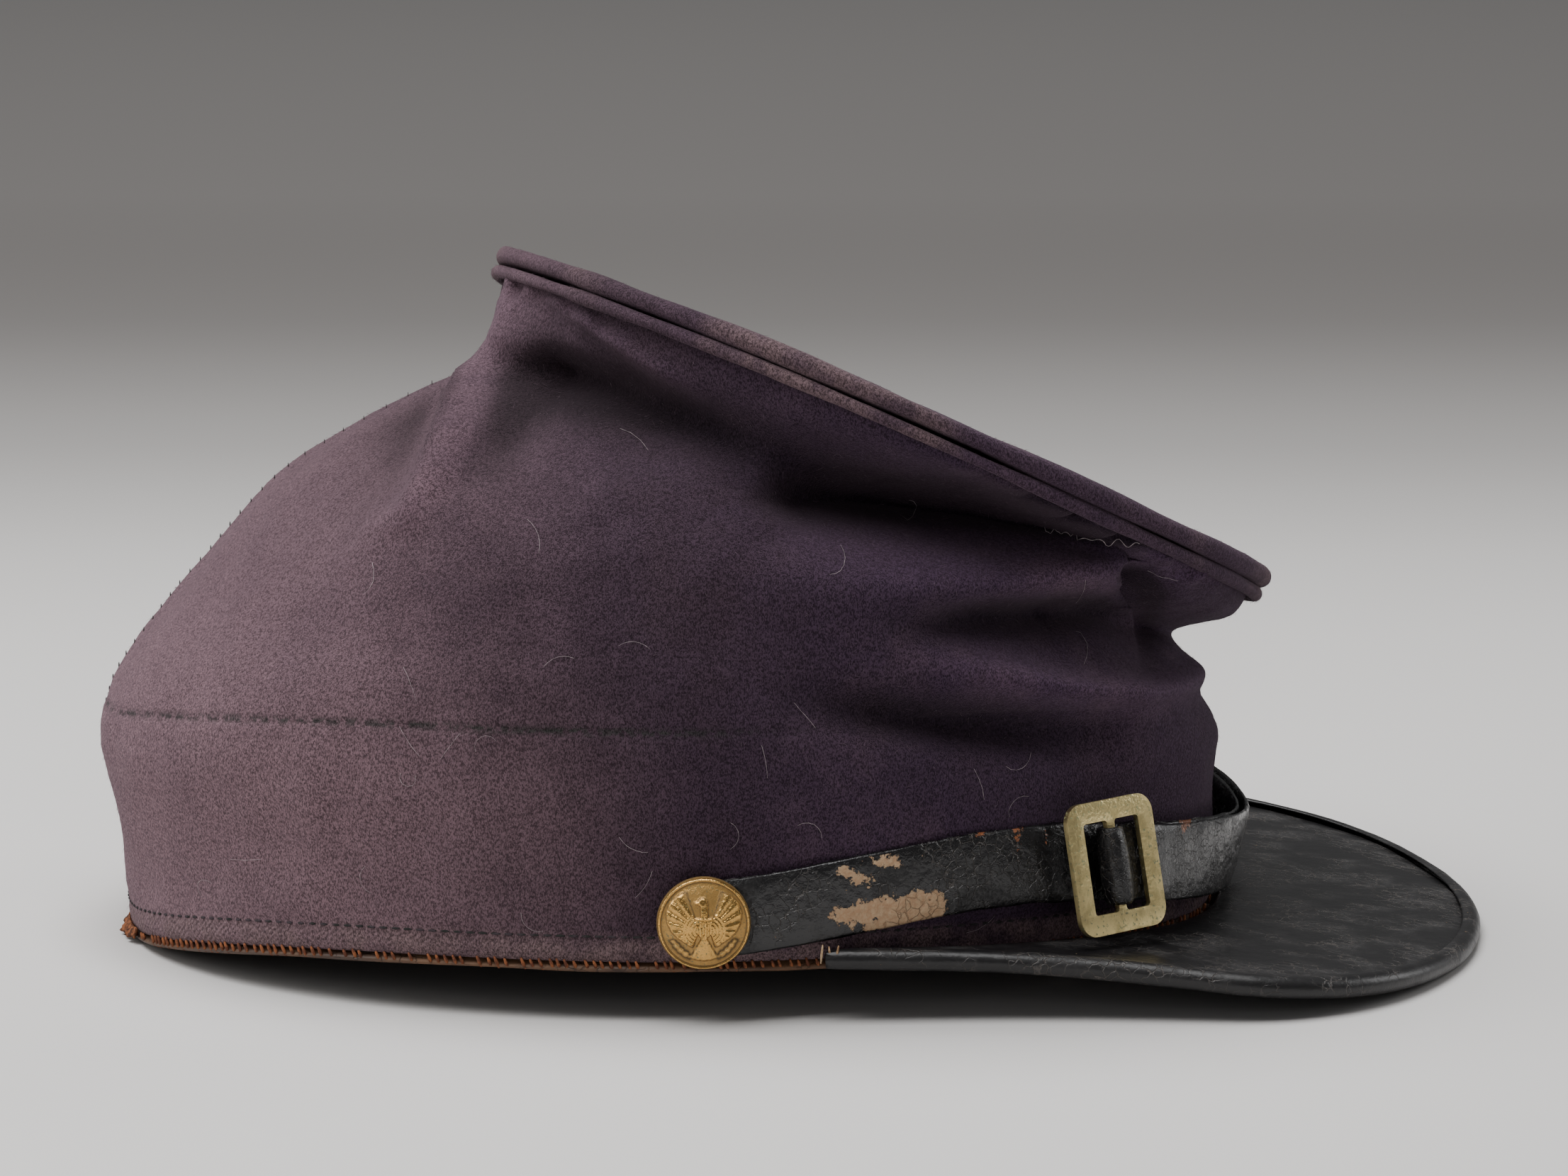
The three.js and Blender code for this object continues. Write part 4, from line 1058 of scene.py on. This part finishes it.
class CAP_OT_stitches(bpy.types.Operator):
    """Sew the hem line, the rust-brown stitches of the edge, the back seam and the visor's threads"""

    bl_idname = "cap.stitches"
    bl_label = "Stitches"

    def execute(self, context):
        random.seed(SEED)
        wool = settings().wool
        leather = settings().leather
        tree = finder(bpy.data.objects["wool_crown"])
        dark = thread_material("Dark thread", wool.thread, (0.045, 0.034, 0.04, 1.0))
        rust = thread_material("Rust thread", (0.10, 0.035, 0.02, 1.0), leather.rust)
        tan = thread_material("Tan thread", (0.22, 0.13, 0.07, 1.0), (0.42, 0.30, 0.19, 1.0))
        finish_piece(stamped(bead(), self.hem(tree)), "hem_stitches", dark)
        finish_piece(stamped(bead(), self.edge(tree)), "edge_stitches", rust)
        finish_piece(stamped(bead(), self.back(tree)), "back_stitches", dark)
        finish_piece(stamped(bead(), self.visor_threads()), "visor_threads", tan)
        old = thread_material("Frayed leather", (0.06, 0.025, 0.014, 1.0), leather.rust, 0.8)
        finish_piece(self.frayed(tree), "frayed_leather", old)
        return {"FINISHED"}

    @staticmethod
    def frayed(tree):
        """A ragged bit of the sweatband's leather that shows under the back of the rim"""
        shape = bmesh.new()
        bmesh.ops.create_grid(shape, x_segments=22, y_segments=8, size=1.0)
        for vert in shape.verts:
            u, v = vert.co.x, (vert.co.y + 1) / 2
            place, normal = on_wall(tree, -math.pi + 0.1 + u * 0.085, 0.9 * MM)
            reach = v * (1.2 + 1.6 * noise.noise(Vector((u * 5.0, 0.0, 2.0)))) * (1 - u * u * 0.6)
            place += Vector((normal.x, normal.y, 0.0)).normalized() * (0.1 + reach) * MM
            wavy = noise.noise(Vector((u * 4.0, v * 3.0, 0.0))) * 0.5 * MM
            place.z = max(0.3 * MM, place.z - (0.2 + 1.6 * v) * MM + wavy)
            vert.co = place
        bmesh.ops.recalc_face_normals(shape, faces=shape.faces)
        bmesh.ops.solidify(shape, geom=shape.faces, thickness=0.35 * MM)
        return shape

    @staticmethod
    def hem(tree):
        """Places of the hem's stitches, all round the cap"""
        wool = settings().wool
        count = round(TURN * RIM_RADIUS / wool.stitch_pitch)
        places = []
        for index in range(count):
            way = TURN * index / count - math.pi
            start, normal = on_wall(tree, way - 0.01, wool.hem_height)
            end, _ = on_wall(tree, way + 0.01, wool.hem_height)
            if start and end:
                size = (wool.stitch_pitch * random.uniform(0.62, 0.78), 0.5 * MM, 0.4 * MM)
                places.append(lying((start + end) / 2 + normal * 0.05 * MM, end - start, normal, size))
        return places

    @staticmethod
    def edge(tree):
        """Places of the slanting stitches that bind the wool's lower edge to the leather"""
        places = []
        for index in range(EDGE_STITCHES):
            way = TURN * (index + random.uniform(-0.2, 0.2)) / EDGE_STITCHES - math.pi
            start, normal = on_wall(tree, way - 0.006, 1.0 * MM)
            end, _ = on_wall(tree, way + 0.006, 0.3 * MM)
            if start and end and random.random() < 0.86:
                middle = (start + end) / 2 + normal * 0.1 * MM - UP * 0.9 * MM
                lean = (end - start).normalized() * 0.7 - UP
                size = (random.uniform(1.8, 2.6) * MM, 0.62 * MM, 0.6 * MM)
                places.append(lying(middle, lean, normal, size))
        return places

    @staticmethod
    def back(tree):
        """Places of the stitches beside the seam down the back"""
        places = []
        for index in range(BACK_STITCHES):
            place, normal = on_wall(tree, math.pi - 0.035, (6 + index * 2.0) * MM)
            if place:
                size = (1.5 * MM, 0.35 * MM, 0.3 * MM)
                places.append(lying(place + normal * 0.04 * MM, UP, normal, size))
        return places

    @staticmethod
    def visor_threads():
        """Tan stitches where the visor's tail is sewn to the wool"""
        outward = Vector((0.0, -1.0, 0.0))
        size = (3.6 * MM, 0.45 * MM, 0.4 * MM)
        rows = ((5.0, 11.5, 0.1), (6.3, 11.2, -0.1), (7.4, 11.4, 0.2))
        return [
            lying(Vector((x, -75.8, z)) * MM, Vector((lean, 0.0, 1.0)), outward, size) for x, z, lean in rows
        ]


def scatter(piece, count, fits, sizes):
    """Places of straight fibres on the piece's faces, spread evenly over their area"""
    mesh = piece.data
    faces = [face for face in mesh.polygons if fits(face)]
    places = []
    for face in random.choices(faces, weights=[face.area for face in faces], k=count):
        shares = [random.random() + 0.02 for _ in face.vertices]
        place = sum((mesh.vertices[v].co * s for v, s in zip(face.vertices, shares)), Vector()) / sum(shares)
        down = Vector((random.gauss(0, 0.5), random.gauss(0, 0.5), -0.6 + random.gauss(0, 0.5)))
        along = (down - face.normal * down.dot(face.normal)).normalized()
        along += face.normal * random.uniform(0.1, 0.55)
        long = random.uniform(*sizes)
        normal = (face.normal - along * face.normal.dot(along) / along.length_squared).normalized()
        place += along.normalized() * long * 0.4
        places.append(lying(place, along, normal, (long, 0.045 * MM, 0.045 * MM)))
    return places


STRAY_HAIRS = 36


class CAP_OT_fibres(bpy.types.Operator):
    """Lay the wool's loose fibres, pale lint and one silver thread on the cap"""

    bl_idname = "cap.fibres"
    bl_label = "Fibres and lint"

    def execute(self, context):
        random.seed(SEED + 1)
        wool = settings().wool
        count = wool.fibres
        crown = bpy.data.objects["wool_crown"]
        top = bpy.data.objects["wool_top"]
        welt = bpy.data.objects["wool_welt"]
        fuzz = thread_material("Wool fibre", (0.055, 0.034, 0.048, 1.0), (0.17, 0.12, 0.145, 1.0), 0.9)
        places = scatter(
            crown, int(count * 0.7), lambda face: is_outer(face.normal, face.center), (0.5 * MM, 1.3 * MM)
        )
        places += scatter(top, int(count * 0.2), lambda face: True, (0.4 * MM, 1.0 * MM))
        places += scatter(welt, int(count * 0.1), lambda face: True, (0.4 * MM, 1.0 * MM))
        finish_piece(stamped(self.sliver(), places), "wool_fibres", fuzz)
        lint = thread_material("Pale lint", (0.25, 0.21, 0.22, 1.0), wool.lint, 0.8)
        finish_piece(self.lint(finder(crown)), "pale_lint", lint)
        return {"FINISHED"}

    @staticmethod
    def sliver():
        """A three-sided stamp that thins towards its far end, one unit long"""
        shape = bmesh.new()
        turn = Matrix.Rotation(math.pi / 2, 4, "Y")
        bmesh.ops.create_cone(
            shape, cap_ends=True, segments=3, radius1=0.5, radius2=0.15, depth=1.0, matrix=turn
        )
        return shape

    @staticmethod
    def lint(tree):
        """Curved stray hairs on the near side, and a wavy silver thread under the round top"""
        shape = bmesh.new()
        for _ in range(STRAY_HAIRS):
            x, z = random.uniform(-95, 60), random.uniform(14, 92)
            way = random.uniform(0, TURN)
            bend = random.gauss(0, 0.3)
            points = []
            for _ in range(7):
                place, normal = on_near(tree, x, z)
                if place is None:
                    break
                points.append(place + normal * random.uniform(0.1, 0.35) * MM)
                x += math.cos(way) * 0.9
                z += math.sin(way) * 0.9
                way += bend
            if len(points) > 3:
                add_tube(shape, points, 0.032 * MM, sides=3)
        points = []
        for step in range(40):
            share = step / 39
            place, normal = on_near(tree, 41 + 15 * share, 75.2 - 1.6 * share + 0.5 * math.sin(share * 34))
            if place is not None:
                points.append(place + normal * (0.5 + 0.3 * math.sin(share * 21)) * MM)
        add_tube(shape, points, 0.06 * MM, sides=4)
        return shape


# Painted shade on the floor: how far it has turned to its dark far colour, at shares of the shade's depth
# behind the cap
PAINTED_SHADE_DEPTH = 1.6
FLOOR_PAINTED_SHADE = (
    (0.0, 0.0),
    (0.08, 0.0),
    (0.17, 0.1),
    (0.23, 0.27),
    (0.28, 0.5),
    (0.32, 0.62),
    (0.38, 0.76),
    (0.45, 0.91),
    (0.6, 0.9),
    (1.0, 0.66),
)
LIT_POINT = Vector((0.0, 0.0, 0.05))


class CAP_OT_stage(bpy.types.Operator):
    """Set the pale floor with painted shade far behind the cap, the soft studio light and the camera"""

    bl_idname = "cap.stage"
    bl_label = "Stage"

    def execute(self, context):
        self.lay_floor()
        self.hang_lights()
        self.place_camera()
        return {"FINISHED"}

    def lay_floor(self):
        stage = settings().stage
        shape = bmesh.new()
        bmesh.ops.create_circle(shape, cap_ends=True, segments=96, radius=9.0)
        mesh = mesh_from(shape, "floor")
        material, n, sockets = new_material("Pale floor", Roughness=0.85, Specular_IOR_Level=0.1)
        place = n.place()
        _, y, _ = n.split(place)
        # Painted shade: the floor darkens towards its far colour with its distance behind the cap
        ramp = n.add("ShaderNodeValToRGB")
        ramp.color_ramp.interpolation = "B_SPLINE"
        ramp.color_ramp.elements.remove(ramp.color_ramp.elements[0])
        for share, amount in FLOOR_PAINTED_SHADE:
            stop = ramp.color_ramp.elements[0] if share == 0 else ramp.color_ramp.elements.new(share)
            stop.position = share
            stop.color = (amount, amount, amount, 1.0)
        n.feed(ramp.inputs[0], n.math("DIVIDE", y, PAINTED_SHADE_DEPTH))
        n.feed(sockets["Base Color"], n.mix(ramp.outputs[0], stage.near_floor, stage.far_floor_painted_shade))
        mesh.materials.append(material)
        added("floor", mesh)

    def hang_lights(self):
        # Name, place, size in metres, watts and colour of each square lamp
        lights = (
            ("top", (-0.35, -0.06, 1.3), 1.5, 42.0, (1.0, 1.0, 1.0)),
            ("left", (-1.3, -0.1, 0.5), 0.6, 3.5, (1.0, 0.985, 0.96)),
            ("right", (1.3, 0.5, 0.6), 0.6, 5.0, (1.0, 1.0, 1.0)),
            ("front", (0.1, -1.5, 0.22), 1.2, 3.5, (1.0, 1.0, 1.0)),
        )
        for name, place, size, power, tint in lights:
            lamp = bpy.data.lights.new(name, "AREA")
            lamp.shape = "SQUARE"
            lamp.size = size
            lamp.energy = power
            lamp.color = tint
            light = added(name, lamp)
            # The front fill would put a grey shine on the leather
            light.visible_glossy = name != "front"
            light.location = place
            towards = LIT_POINT - Vector(place)
            light.rotation_euler = towards.to_track_quat("-Z", "Y").to_euler()
        world = bpy.data.worlds.new("soft room")
        world.use_nodes = True
        background = world.node_tree.nodes["Background"].inputs
        background["Color"].default_value = (1.0, 1.0, 1.0, 1.0)
        background["Strength"].default_value = 0.14
        bpy.context.scene.world = world

    def place_camera(self):
        stage = settings().stage
        lens = bpy.data.cameras.new("camera")
        lens.sensor_width = 36.0
        lens.lens = lens.sensor_width * stage.distance / stage.view_width
        lens.clip_start = 0.05
        lens.clip_end = 50.0
        camera = added("camera", lens)
        aim = Vector((-1.0 * MM, 0.0, stage.aim_height))
        rise = stage.elevation
        camera.location = aim + Vector((0.0, -math.cos(rise), math.sin(rise))) * stage.distance
        camera.rotation_euler = (math.pi / 2 - rise, 0.0, 0.0)
        bpy.context.scene.camera = camera


class VIEW3D_PT_forage_cap(bpy.types.Panel):
    """Settings and steps of the cap's finish"""

    bl_idname = "VIEW3D_PT_forage_cap"
    bl_label = "Forage Cap"
    bl_space_type = "VIEW_3D"
    bl_region_type = "UI"
    bl_category = "Cap"

    def draw(self, context):
        cap = context.scene.forage_cap
        for group in (cap.wool, cap.leather, cap.brass, cap.stage):
            box = self.layout.box()
            box.label(text=group.__doc__)
            for name in group.__annotations__:
                box.prop(group, name)
        for operator in OPERATORS:
            self.layout.operator(operator.bl_idname)


OPERATORS = (
    CAP_OT_stage,
    CAP_OT_crown,
    CAP_OT_top,
    CAP_OT_sweatband,
    CAP_OT_visor,
    CAP_OT_strap,
    CAP_OT_buckle,
    CAP_OT_buttons,
    CAP_OT_stitches,
    CAP_OT_fibres,
)
CLASSES = (
    WoolSettings,
    LeatherSettings,
    BrassSettings,
    StageSettings,
    CapSettings,
    *OPERATORS,
    VIEW3D_PT_forage_cap,
)


def register():
    for part in CLASSES:
        bpy.utils.register_class(part)
    bpy.types.Scene.forage_cap = PointerProperty(type=CapSettings)


def unregister():
    del bpy.types.Scene.forage_cap
    for part in reversed(CLASSES):
        bpy.utils.unregister_class(part)


def main():
    register()
    make_nap_group()
    make_crackle_group()
    make_patina_group()
    make_wool_group()
    bpy.ops.cap.stage()
    bpy.ops.cap.crown()
    bpy.ops.cap.top()
    bpy.ops.cap.sweatband()
    bpy.ops.cap.visor()
    bpy.ops.cap.strap()
    bpy.ops.cap.buckle()
    bpy.ops.cap.buttons()
    bpy.ops.cap.stitches()
    bpy.ops.cap.fibres()


if __name__ == "__main__":
    main()
